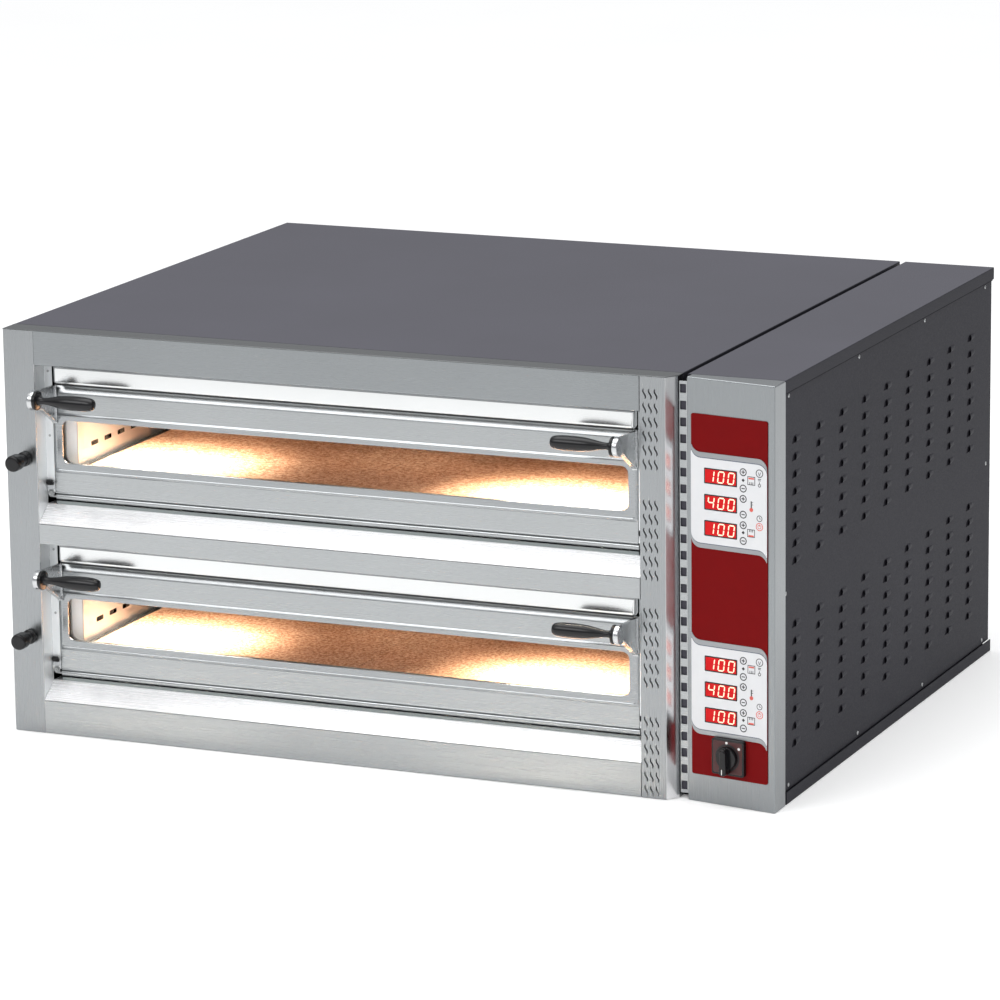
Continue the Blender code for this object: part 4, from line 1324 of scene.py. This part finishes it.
face = {
    "left": 1.315,
    "leftY": 0.017,
    "rightY": -casing["nose"],
    "return": 0.040,
    "panelFront": -0.0018,
    "keypadFront": -0.0033,
    "low": 0.001,
    "redLow": (0.009, 0.050),
    "redHigh": (0.160, 0.688),
}
faceTurn = math.atan2(face["rightY"] - face["leftY"], casing["width"] - face["left"])


def onFace(points):
    # from the sloped face's own right, inward and up to the casing's corner
    p = np.asarray(points, float)
    c, s = math.cos(faceTurn), math.sin(faceTurn)
    x = face["left"] + p[..., 0] * c - p[..., 1] * s
    y = face["leftY"] + p[..., 0] * s + p[..., 1] * c
    return np.stack([x, y, p[..., 2]], -1)


def buildControlFront():
    # a folded front that slopes forward to the right, closed at its top and foot
    rear, width, top, low = face["return"], casing["width"], casing["height"], face["low"]
    left, leftY, rightY = face["left"], face["leftY"], face["rightY"]
    wall = foldedSheet(
        [(left, rear), (left, leftY), (width, rightY), (width, rear)], "Z", low, top - 0.0022
    )
    inset = 0.0006
    lid = [(left + inset, leftY + inset), (width - inset, rightY + 2 * inset)]
    lid += [(width - inset, rear), (left + inset, rear)]
    cap = slab(lid, top - 0.0040, top, "Z", 0.0, 0.0018)
    foot = slab(lid, low, low + 0.0012, "Z", 0.0, 0.0)
    shells = [wall, cap, foot]
    addShells(
        "controlFront", shells, finish["control"], instead="control_front", slot="satin_steel"
    )


def flatRing(low, high, radius, corner=6):
    # a rounded rectangle between two (across, up) corners of a flat face
    return ringLoop(low, high, radius, 0.0, corner)[:, [0, 2]]


def buildRedPanel():
    # one red foil down the sloping face
    outline = flatRing(face["redLow"], face["redHigh"], 0.004)
    panel = plate(outline, face["panelFront"], -0.0003, 0.0004, onFace)
    addPiece("redPanel", *panel, finish["red"], instead="red_panel", slot="red_panel")


keypad = {
    "left": 0.0095,
    "right": 0.1595,
    "low": 0.1320,
    "high": 0.2810,
    "bend": 0.018,
    "tip": 0.0108,
    "mouldingBelow": 0.009,
    "mouldingAbove": 0.010,
    "edge": 0.0014,
}


def ogeeOutline(low, high, left, right):
    # both long edges fall by one bend at the left and by another at the right, as circle arcs
    bend, tip = keypad["bend"], keypad["tip"]
    sharp, quarter = np.radians(np.linspace(20, 90, 8)), np.radians(np.linspace(0, 90, 9))

    def rise(height, angles):
        # bend times one less the cosine across, and one less the sine up
        along, down = bend * (1 - np.cos(angles)), bend * (1 - np.sin(angles))
        return np.column_stack([left + along, height + down])

    def fall(height, angles):
        # bend times one less the sine across, and one less the cosine down
        along, down = bend * (1 - np.sin(angles)), bend * (1 - np.cos(angles))
        return np.column_stack([right - along, height - down])

    upper = np.concatenate([[[left, high + tip]], rise(high, sharp), fall(high, quarter)])
    lower = [rise(low, quarter), fall(low, np.pi / 2 - sharp[::-1]), [[right, low - tip]]]
    return np.concatenate([upper, np.concatenate(lower)[::-1]])


segments = {"4": "bcfg", "1": "bc", "0": "abcdef"}
digit = {"tall": 0.0190, "wide": 0.0110, "line": 0.0023, "lean": 0.13, "gap": 0.0004}


def digitBars(mark, x, z, front):
    # the lit bars of one leaning seven-bar figure; each bar is a hexagon with 45 degree tips
    h, w, t, gap = digit["tall"], digit["wide"], digit["line"], digit["gap"]
    spots = {
        "a": (0, h / 2, w, 0), "g": (0, 0, w, 0), "d": (0, -h / 2, w, 0),
        "b": (w / 2, h / 4, h / 2, 1), "c": (w / 2, -h / 4, h / 2, 1),
        "e": (-w / 2, -h / 4, h / 2, 1), "f": (-w / 2, h / 4, h / 2, 1),
    }
    bars = []
    for name in segments[mark]:
        dx, dz, length, upright = spots[name]
        half, tip = length / 2 - gap, t / 2
        lower = [[-half, 0], [-half + tip, -tip], [half - tip, -tip]]
        bar = np.array(lower + [[half, 0], [half - tip, tip], [-half + tip, tip]])
        bar = (bar[:, ::-1] if upright else bar) + [dx, dz]
        bar[:, 0] += bar[:, 1] * digit["lean"]
        bars.append(plate(bar + [x, z], front - 0.0002, front, 0.0, onFace))
    return bars


def inkBar(x, z, length, width, turn=0.0):
    # a printed bar centred on its place
    front = face["keypadFront"]
    outline = barOutline(x, z, length, width, turn)
    return [plate(outline, front - 0.0001, front + 0.0001, 0.0, onFace)]


def inkRing(x, z, radius, width):
    # a printed ring of one line's width
    front = face["keypadFront"]
    return [hoop(x, z, radius, width, front - 0.0001, front + 0.0001, onFace)]


def inkDot(x, z, radius):
    # a printed disc
    front = face["keypadFront"]
    return [plate(circleOutline(x, z, radius), front - 0.0002, front, 0.0, onFace)]


def inkFrame(x, z, wide, tall, line):
    # four printed bars round a rectangle
    bars = []
    for side in (-1, 1):
        bars += inkBar(x, z + side * (tall - line) / 2, wide, line)
    for side in (-1, 1):
        bars += inkBar(x + side * (wide - line) / 2, z, line, tall - 2 * line)
    return bars


keys = {
    "plusMinus": (
        ("+", 0.265), ("-", 0.2365), ("+", 0.2185), ("-", 0.191), ("+", 0.1725), ("-", 0.145)
    ),
    "column": 0.113,
    "ring": 0.0069,
    "line": 0.0018,
    "displays": ((0.251, "100"), (0.205, "400"), (0.1593, "100")),
    "displayLeft": 0.036,
    "displayRight": 0.101,
    "displayTall": 0.0275,
    "displayBorder": 0.0022,
    "figureStep": 0.0200,
    "figureShift": 0.0010,
    "minus": 0.0066,
    "plusReach": 0.0020,
    "plusTall": 0.0026,
    "diamonds": (0.2508, 0.1595),
    "diamondSide": 0.0045,
}
# the printed symbols: a kind, then its place on the lower deck's keypad and its sizes
symbols = {
    "ink": (
        (inkFrame, 0.1290, 0.2515, 0.0150, 0.0150, 0.0012),
        (inkFrame, 0.1285, 0.1600, 0.0150, 0.0140, 0.0012),
        (inkBar, 0.1260, 0.2470, 0.0012, 0.0045),
        (inkBar, 0.1290, 0.2470, 0.0012, 0.0045),
        (inkBar, 0.1320, 0.2470, 0.0012, 0.0045),
        (inkBar, 0.1255, 0.1640, 0.0012, 0.0040),
        (inkBar, 0.1285, 0.1640, 0.0012, 0.0040),
        (inkBar, 0.1315, 0.1640, 0.0012, 0.0040),
        (inkBar, 0.1290, 0.2095, 0.0022, 0.0130),
        (inkBar, 0.1315, 0.2140, 0.0020, 0.0010),
        (inkBar, 0.1315, 0.2100, 0.0020, 0.0010),
        (inkRing, 0.1450, 0.2660, 0.0072, 0.0014),
        (inkBar, 0.1450, 0.2560, 0.0062, 0.0014),
        (inkBar, 0.1450, 0.2535, 0.0050, 0.0012),
        (inkBar, 0.1438, 0.2650, 0.0010, 0.0060, 0.3),
        (inkBar, 0.1462, 0.2650, 0.0010, 0.0060, -0.3),
        (inkRing, 0.1450, 0.2450, 0.0030, 0.0012),
        (inkBar, 0.1450, 0.2495, 0.0012, 0.0030),
        (inkRing, 0.1450, 0.1875, 0.0056, 0.0012),
        (inkBar, 0.1450, 0.1890, 0.0010, 0.0034),
        (inkBar, 0.1463, 0.1872, 0.0030, 0.0010),
    ),
    "redInk": (
        (inkBar, 0.1290, 0.2555, 0.0110, 0.0028),
        (inkBar, 0.1285, 0.1555, 0.0105, 0.0026),
        (inkDot, 0.1290, 0.2010, 0.0036),
        (inkRing, 0.1450, 0.1730, 0.0070, 0.0013),
        (inkRing, 0.1450, 0.1730, 0.0036, 0.0010),
        (inkBar, 0.1450, 0.1755, 0.0010, 0.0036),
    ),
}


def keypadLayer(lift, below, above, near, far, rim):
    # the keypad's outline, grown below and above, as a thin plate between two depths
    low, high = keypad["low"] - below + lift, keypad["high"] + above + lift
    outline = ogeeOutline(low, high, keypad["left"], keypad["right"])
    return plate(outline, near, far, rim, onFace)


def buildKeypad(deck, lift):
    # a grey moulding, a dark edge and a white foil in layers, then printed keys and displays
    front, rear, edge = face["keypadFront"], face["panelFront"] - 0.0002, keypad["edge"]
    below, above = keypad["mouldingBelow"], keypad["mouldingAbove"]
    layer = keypadLayer(lift, below, above, front + 0.0004, rear, 0.0004)
    facts = {"instead": f"keypad_{deck}", "slot": "keypad_white"}
    addPiece(f"{deck}KeypadMoulding", *layer, finish["moulding"], **facts)
    layer = keypadLayer(lift, edge, edge, front + 0.0002, front + 0.0006, 0.0002)
    addPiece(f"{deck}KeypadEdge", *layer, finish["edge"], slot="black_plastic")
    layer = keypadLayer(lift, 0.0, 0.0, front, front + 0.0005, 0.0003)
    addPiece(f"{deck}Keypad", *layer, finish["white"], slot="keypad_white")
    ink, displays, figures, frames = [], [], [], []
    for mark, z in keys["plusMinus"]:
        x, z = keys["column"], z + lift
        ink += inkRing(x, z, keys["ring"], keys["line"]) + inkBar(x, z, keys["minus"], keys["line"])
        if mark == "+":
            for side in (-1, 1):
                ink += inkBar(x, z + side * keys["plusReach"], keys["line"], keys["plusTall"])
    side = keys["diamondSide"]
    for z in keys["diamonds"]:
        ink += inkBar(keys["column"], z + lift, side, side, math.pi / 4)
    left, right, half = keys["displayLeft"], keys["displayRight"], keys["displayTall"] / 2
    border = keys["displayBorder"]
    for z, text in keys["displays"]:
        z += lift
        outline = flatRing((left, z - half), (right, z + half), 0.0015)
        frames.append(plate(outline, front - 0.0002, front + 0.0002, 0.0, onFace))
        start, end = (left + border, z - half + border), (right - border, z + half - border)
        inner = flatRing(start, end, 0.001)
        displays.append(plate(inner, front - 0.0004, front - 0.0001, 0.0, onFace))
        for index, mark in enumerate(text):
            x = (left + right) / 2 + (index - 1) * keys["figureStep"] + keys["figureShift"]
            figures += digitBars(mark, x, z, front - 0.0003)
    drawn = {kind: [] for kind in symbols}
    for kind, marks in symbols.items():
        for draw, x, z, *sizes in marks:
            drawn[kind] += draw(x, z + lift, *sizes)
    addShells(f"{deck}Ink", ink + drawn["ink"], finish["ink"], slot="black_plastic")
    addShells(f"{deck}RedInk", drawn["redInk"], finish["redInk"], slot="red_panel")
    addShells(f"{deck}DisplayFrames", frames, finish["black"], slot="black_plastic")
    addShells(f"{deck}Displays", displays, finish["display"], slot="red_panel")
    addShells(f"{deck}Figures", figures, finish["figure"], slot="keypad_white")


switch = {
    "x": 0.0855,
    "z": 0.0905,
    "half": 0.032,
    "plateBack": -0.0021,
    "plateFront": -0.0106,
    "fieldInset": 0.0035,
    "dots": ((0.0835, 0.1165), (0.1080, 0.1085)),
    "dotRound": 0.0024,
    "knob": 0.020,
    "knobThick": 0.008,
    "knobRibs": 24,
    "leverHalf": 0.007,
    "leverLow": 0.029,
    "leverHigh": 0.018,
    "leverProud": 0.012,
    "leverTaper": 0.22,
    "markDown": 0.0215,
}


def buildSwitch():
    # a square plate with its field, well and dots, and a ribbed disc with a tapering lever
    x, z, half, front = switch["x"], switch["z"], switch["half"], switch["plateFront"]
    outline = flatRing((x - half, z - half), (x + half, z + half), 0.004)
    points, faces = slab(outline, front, switch["plateBack"], "Y", 0.0014, 0.0)
    facts = {"instead": "switch_plate", "slot": "black_plastic"}
    addPiece("switchPlate", onFace(points), faces, finish["black"], **facts)
    half -= switch["fieldInset"]
    inner = flatRing((x - half, z - half), (x + half, z + half), 0.003)
    field = plate(inner, front - 0.0001, front + 0.0010, 0.0, onFace)
    addPiece("switchField", *field, finish["field"], slot="black_plastic")
    well = [
        (0.0205, 0), (0.0235, 0), (0.0240, -0.0001), (0.0235, -0.0002), (0.0205, -0.0002),
        (0.0205, 0)
    ]
    points, faces = turned(well, (x, front - 0.0001, z), (0, 1, 0), 48)
    addPiece("switchWell", onFace(points), faces, finish["blackMatt"], slot="black_plastic")
    rounds = [circleOutline(*spot, switch["dotRound"], 16) for spot in switch["dots"]]
    dots = [plate(disc, front - 0.0002, front + 0.0001, 0.0, onFace) for disc in rounds]
    addShells("switchDots", dots, finish["dot"], slot="keypad_white")
    # the disc's radius ripples as the cosine of the ribs' count times the angle
    rear, r, t, count = front - 0.0003, switch["knob"], switch["knobThick"], 96
    angle = tau * np.arange(count) / count
    ripple = 1 - 0.012 * (0.5 + 0.5 * np.cos(switch["knobRibs"] * angle))
    loops = []
    for scale, run in ((1.0, 0.0), (1.0, t * 0.78), (0.965, t * 0.95), (0.92, t), (0.30, t)):
        radial = r * scale * (ripple if scale == 1.0 else 1.0)
        flat = x + radial * np.cos(angle), np.full(count, rear - run), z + radial * np.sin(angle)
        loops.append(np.column_stack(flat))
    points, faces = loft(loops)
    foot, top = z - switch["leverLow"], z + switch["leverHigh"]
    nose, root = rear - t - switch["leverProud"], rear - 0.001
    taper = flatRing((x - switch["leverHalf"], foot), (x + switch["leverHalf"], top), 0.0062, 8)
    taper[:, 0] = x + (taper[:, 0] - x) * (
        1 - switch["leverTaper"] * (taper[:, 1] - foot) / (top - foot)
    )
    lever = slab(taper, nose, root, "Y", 0.0028, 0.0, 5)
    shells, facts = [(onFace(points), faces), (onFace(lever[0]), lever[1])], {"body": "switch"}
    name = "switch_knob"
    addShells("switchKnob", shells, finish["black"], instead=name, slot="black_plastic", **facts)
    line = barOutline(x, z - switch["markDown"], 0.0016, 0.0095)
    mark = plate(line, nose - 0.0001, nose + 0.0004, 0.0, onFace)
    addPiece("switchMark", *mark, finish["dot"], slot="keypad_white", **facts)


strip = {
    "left": 1.2983,
    "right": 1.3147,
    "front": 0.0245,
    "low": 0.010,
    "high": 0.740,
    "wide": 0.0112,
    "tall": 0.0155,
    "shift": 0.0012,
    "pitch": 0.0293,
    "top": 0.727,
    "count": 25,
    "baffleDepths": (0.0035, 0.005),
}


def buildVentStrip():
    # a narrow sheet with one row of slots between the two boxes, and a baffle behind it
    left, right, front = strip["left"], strip["right"], strip["front"]
    low, high = (left, front, strip["low"]), (right, front + casing["sheet"], strip["high"])
    blank = roundedBox(low, high, "Y", 0.0005, 0.0003)
    middle, half, slots = (left + right) / 2 - strip["shift"], strip["wide"] / 2, []
    for z in strip["top"] - strip["pitch"] * np.arange(strip["count"]):
        start, end = (middle - half, z - strip["tall"] / 2), (middle + half, z + strip["tall"] / 2)
        slots.append(slab(flatRing(start, end, 0.0012, 4), front - 0.005, front + 0.006, "Y", 0.0))
    sheet = carve(blank, slots)
    addPiece("ventStrip", *sheet, finish["satin"], instead="vent_strip", slot="zinc_plate")
    near, far = (front + depth for depth in strip["baffleDepths"])
    low = (left + 0.0005, near, strip["low"] + 0.002)
    high = (right - 0.0005, far, strip["high"] - 0.002)
    baffle = roundedBox(low, high, "Y", 0.0005, 0.0003)
    addPiece("ventBaffle", *baffle, finish["slate"], slot="slate_paint")


controlInside = {
    "blockLow": (1.340, 0.500, 0.250),
    "blockHigh": (1.440, 0.590, 0.350),
    "terminalColumns": (1.352, 1.371, 1.390, 1.409, 1.428),
    "terminalRows": (0.262, 0.338),
    "backLow": (1.310, 1.150, 0.0025),
    "backHigh": (1.480, 1.1515, 0.7475),
    "screwColumns": (1.318, 1.472),
    "screwRows": (0.014, 0.240, 0.500, 0.736),
    "glandAt": (1.397, 1.138, 0.110),
    "glandHole": 0.0112,
    "gland": (
        (0.0060, 0.0390), (0.0090, 0.0390), (0.0101, 0.0382), (0.0110, 0.0350), (0.0112, 0.0300),
        (0.0126, 0.0296), (0.0126, 0.0292), (0.0114, 0.0288), (0.0114, 0.0150), (0.0112, 0.0140),
        (0.0108, 0.0136), (0.0108, 0.0004), (0.0104, 0), (0.0060, 0), (0.0060, 0.0390),
    ),
    "nut": (
        (0.0108, 0.0138), (0.0146, 0.0138), (0.0150, 0.0146), (0.0150, 0.0276), (0.0143, 0.0288),
        (0.0108, 0.0288), (0.0108, 0.0138),
    ),
}


def buildControlInside():
    # the contactor's moulded block with its terminals, and the cable gland on the back
    inside = controlInside
    block = roundedBox(inside["blockLow"], inside["blockHigh"], "X", 0.004, 0.0012)
    addPiece("contactor", *block, finish["blackMatt"], instead="contactor", slot="black_plastic")
    spots = [(x, z) for x in inside["terminalColumns"] for z in inside["terminalRows"]]
    level = inside["blockLow"][1] + 0.0008
    terminals = screwGrid(spots, level, (0, -1, 0), radius=0.0045, height=0.0006)
    addShells("contactorTerminals", terminals, finish["zinc"], slot="zinc_plate")
    at, y = inside["glandAt"], (0, 1, 0)
    shells = [turned(inside["gland"], at, y, 40), turned(inside["nut"], at, y, 6)]
    facts = {"instead": "cable_gland", "smoothAngle": 30, "slot": "black_plastic"}
    addShells("cableGland", shells, finish["blackMatt"], **facts)
    blank = roundedBox(inside["backLow"], inside["backHigh"], "Y", 0.003, 0.0003)
    hole = slab(circleOutline(at[0], at[2], inside["glandHole"], 40), 1.14, 1.16, "Y", 0.0)
    facts = {"instead": "control_back_panel", "slot": "slate_paint"}
    addPiece("controlBackPanel", *carve(blank, [hole]), finish["slateSide"], **facts)
    spots = [(x, z) for x in inside["screwColumns"] for z in inside["screwRows"]]
    screws = screwGrid(spots, inside["backHigh"][1], y)
    addShells("controlBackScrews", screws, finish["zinc"], slot="zinc_plate")


buildControlFront()
buildRedPanel()
for deck, lift in decks.items():
    buildKeypad(deck, lift)
buildSwitch()
buildVentStrip()
buildControlInside()
print("control box ready")


chamber = {
    "left": 0.108,
    "right": 1.188,
    "front": 0.070,
    "back": 0.800,
    "low": 0.124,
    "high": 0.305,
    "stoneLow": 0.1425,
    "stoneHigh": 0.160,
    "railDepths": (0.074, 0.7965),
    "slotFirst": 0.133,
    "slotPitch": 0.052,
    "slots": 13,
    "slotShadowHalf": 0.0135,
    "slotShadowHeights": (0.1855, 0.1942),
    "heaterMargins": (0.020, 0.070),
    "heaterRound": 0.0039,
    "heaters": {"top": 0.291, "bottom": 0.1335},
    "lamp": (0.350, 0.235),
}


def buildMouth(deck, lift):
    # a flared frame that carries the chamber's mouth out to the door
    def ring(grow, level):
        # the chamber's outline, grown outwards at one depth
        low = (chamber["left"] - grow, chamber["low"] - grow * 0.25 + lift)
        return ringLoop(
            low, (chamber["right"] + grow, chamber["high"] + grow * 0.25 + lift), 0.004, level
        )

    steps = ((0.0, 0.0697), (0.0005, 0.0690), (0.0215, 0.0612), (0.0240, 0.0606))
    steps += ((0.0240, 0.0616), (0.0222, 0.0621), (0.0015, 0.0697))
    mouth = loft([ring(*step) for step in steps], ring=True)
    addPiece(f"{deck}ChamberMouth", *mouth, finish["mouth"], slot="bright_steel")


def buildSlotShadows(deck, lift):
    # dark plates over each air slot of the left wall: painted shadow inside the slots
    wall, half, patches = chamber["left"] + 0.002, chamber["slotShadowHalf"], []
    foot, top = chamber["slotShadowHeights"]
    for y in chamber["slotFirst"] + chamber["slotPitch"] * np.arange(chamber["slots"]):
        low, high = (wall - 0.0002, y - half, foot + lift), (wall + 0.0003, y + half, top + lift)
        patches.append(roundedBox(low, high, "X", 0.0018, 0.0002))
    addShells(f"{deck}SlotShadows", patches, finish["slotShade"], slot="heater_sheath")


def buildStone(deck, lift):
    # two slabs side by side with eased edges, and a rail of the same fireclay at the left, near
    # black: painted shade in the gap beside the wall
    left, right, ease = chamber["left"] + 0.0180, chamber["right"] - 0.0035, 0.0035
    foot, top = chamber["stoneLow"] + lift, chamber["stoneHigh"] + lift
    front, rear = chamber["railDepths"]
    # the rail's near-black fireclay is painted shade in the gap beside the wall
    low, high = (chamber["left"] + 0.0065, front, foot), (left - 0.0004, rear, top)
    rail = roundedBox(low, high, "Y", 0.001, 0.001)
    addPiece(f"{deck}StoneRail", *rail, finish["rail"], slot="baking_stone")
    middle, slabs = (left + right) / 2, []
    front, rear = chamber["front"] + 0.004, chamber["back"] - ease
    for a, b in ((left, middle - 0.0004), (middle + 0.0004, right)):
        slabs.append(roundedBox((a, front, foot), (b, rear, top), "Z", 0.004, 0.0015))
    node = f"baking_stone_{deck}"
    addShells(f"{deck}Stone", slabs, finish["stone"], instead=node, slot="baking_stone")


def hairpin(left, right, front, back, runs):
    # straight runs along x joined by half circles
    pitch = (back - front) / (runs - 1)
    radius, points = pitch / 2, [np.array([[right, front]])]
    for run in range(runs - 1):
        y, sweep = front + pitch * (run + 0.5), np.radians(np.linspace(-90, 90, 13))
        outward, middle = (-1, left + radius) if run % 2 == 0 else (1, right - radius)
        x = np.cos(sweep) * radius * outward + middle
        points.append(np.column_stack([x, y + radius * np.sin(sweep)]))
    points.append(np.array([[right, back]]))
    return np.concatenate(points)


def buildHeater(deck, which, z):
    # one sheathed tube that runs to and fro across the chamber at one height
    side, end = chamber["heaterMargins"]
    ends = chamber["left"] + side, chamber["right"] - side
    run = hairpin(*ends, chamber["front"] + end, chamber["back"] - end, 4)
    path = np.column_stack([run, np.full(len(run), z)])
    rod = tube(path, chamber["heaterRound"], 14)
    facts = {"instead": f"{which}_heater_{deck}", "slot": "heater_sheath"}
    addPiece(f"{deck}{which.title()}Heater", *rod, finish["sheath"], **facts)


def buildLamp(deck, lift):
    # a domed glass in a threaded collar, set in the right wall
    y, z = chamber["lamp"]
    at = (chamber["right"] - 0.006, y, z + lift)
    dome = [(0, -0.0008), (0.0080, -0.0005), (0.0145, 0.0002), (0.0185, 0.0022)]
    dome += [(0.0200, 0.0050), (0.0200, 0.0090), (0, 0.0090)]
    ring = [(0.0186, 0.0045), (0.0212, 0.0045), (0.0215, 0.0055), (0.0215, 0.0480)]
    ring += [(0.0205, 0.0500), (0, 0.0500), (0, 0.0100), (0.0186, 0.0100), (0.0186, 0.0045)]
    collar, glass = (turned(profile, at, (1, 0, 0), 48) for profile in (ring, dome))
    facts = {"instead": f"oven_lamp_{deck}", "slot": "zinc_plate"}
    addPiece(f"{deck}LampCollar", *collar, finish["zinc"], **facts)
    addPiece(f"{deck}LampGlass", *glass, finish["lamp"], slot="clear_glass")


chamberLight = {
    "height": 0.298,
    "size": (0.26, 0.12),
    "color": (1.0, 0.92, 0.78),
    # each light's place from the casing's corner, its power and its cone in degrees
    "spots": {
        "Left": (0.25, 0.15, 3.6, 112.0),
        "Middle": (0.64, 0.30, 0.22, 170.0),
        "Right": (1.03, 0.12, 4.0, 112.0),
    },
}


def lightChamber(deck, lift):
    # warm lights under the chamber's roof that shine straight down
    for spot, (dx, dy, power, cone) in chamberLight["spots"].items():
        x, y = casingCorner[:2] + (dx, dy)
        size, color = chamberLight["size"], chamberLight["color"]
        place = (x, y, chamberLight["height"] + lift)
        addAreaLight(f"{deck}Chamber{spot}", place, (x, y, 0.0), size, power, color, cone)


for deck, lift in decks.items():
    buildMouth(deck, lift)
    buildSlotShadows(deck, lift)
    buildStone(deck, lift)
    for which, z in chamber["heaters"].items():
        buildHeater(deck, which, z + lift)
    buildLamp(deck, lift)
    lightChamber(deck, lift)
print("chambers ready")


keptFinish = {
    "chamber_liner": "chamber",
    "damper_slide": "slide",
    "temperature_probe": "sheath",
    "inner_side_panel": "slateSide",
    "control_inner_panel": "slateSide",
}
shown = [name for name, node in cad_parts.items() if not node.hide_render]
print("kept nodes:", ", ".join(sorted(shown)))
for name in shown:
    kind = next((key for key in keptFinish if name.startswith(key)), None)
    look = finish[keptFinish.get(kind, "satin")]
    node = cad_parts[name]
    node.data.materials.clear()
    node.data.materials.append(look)
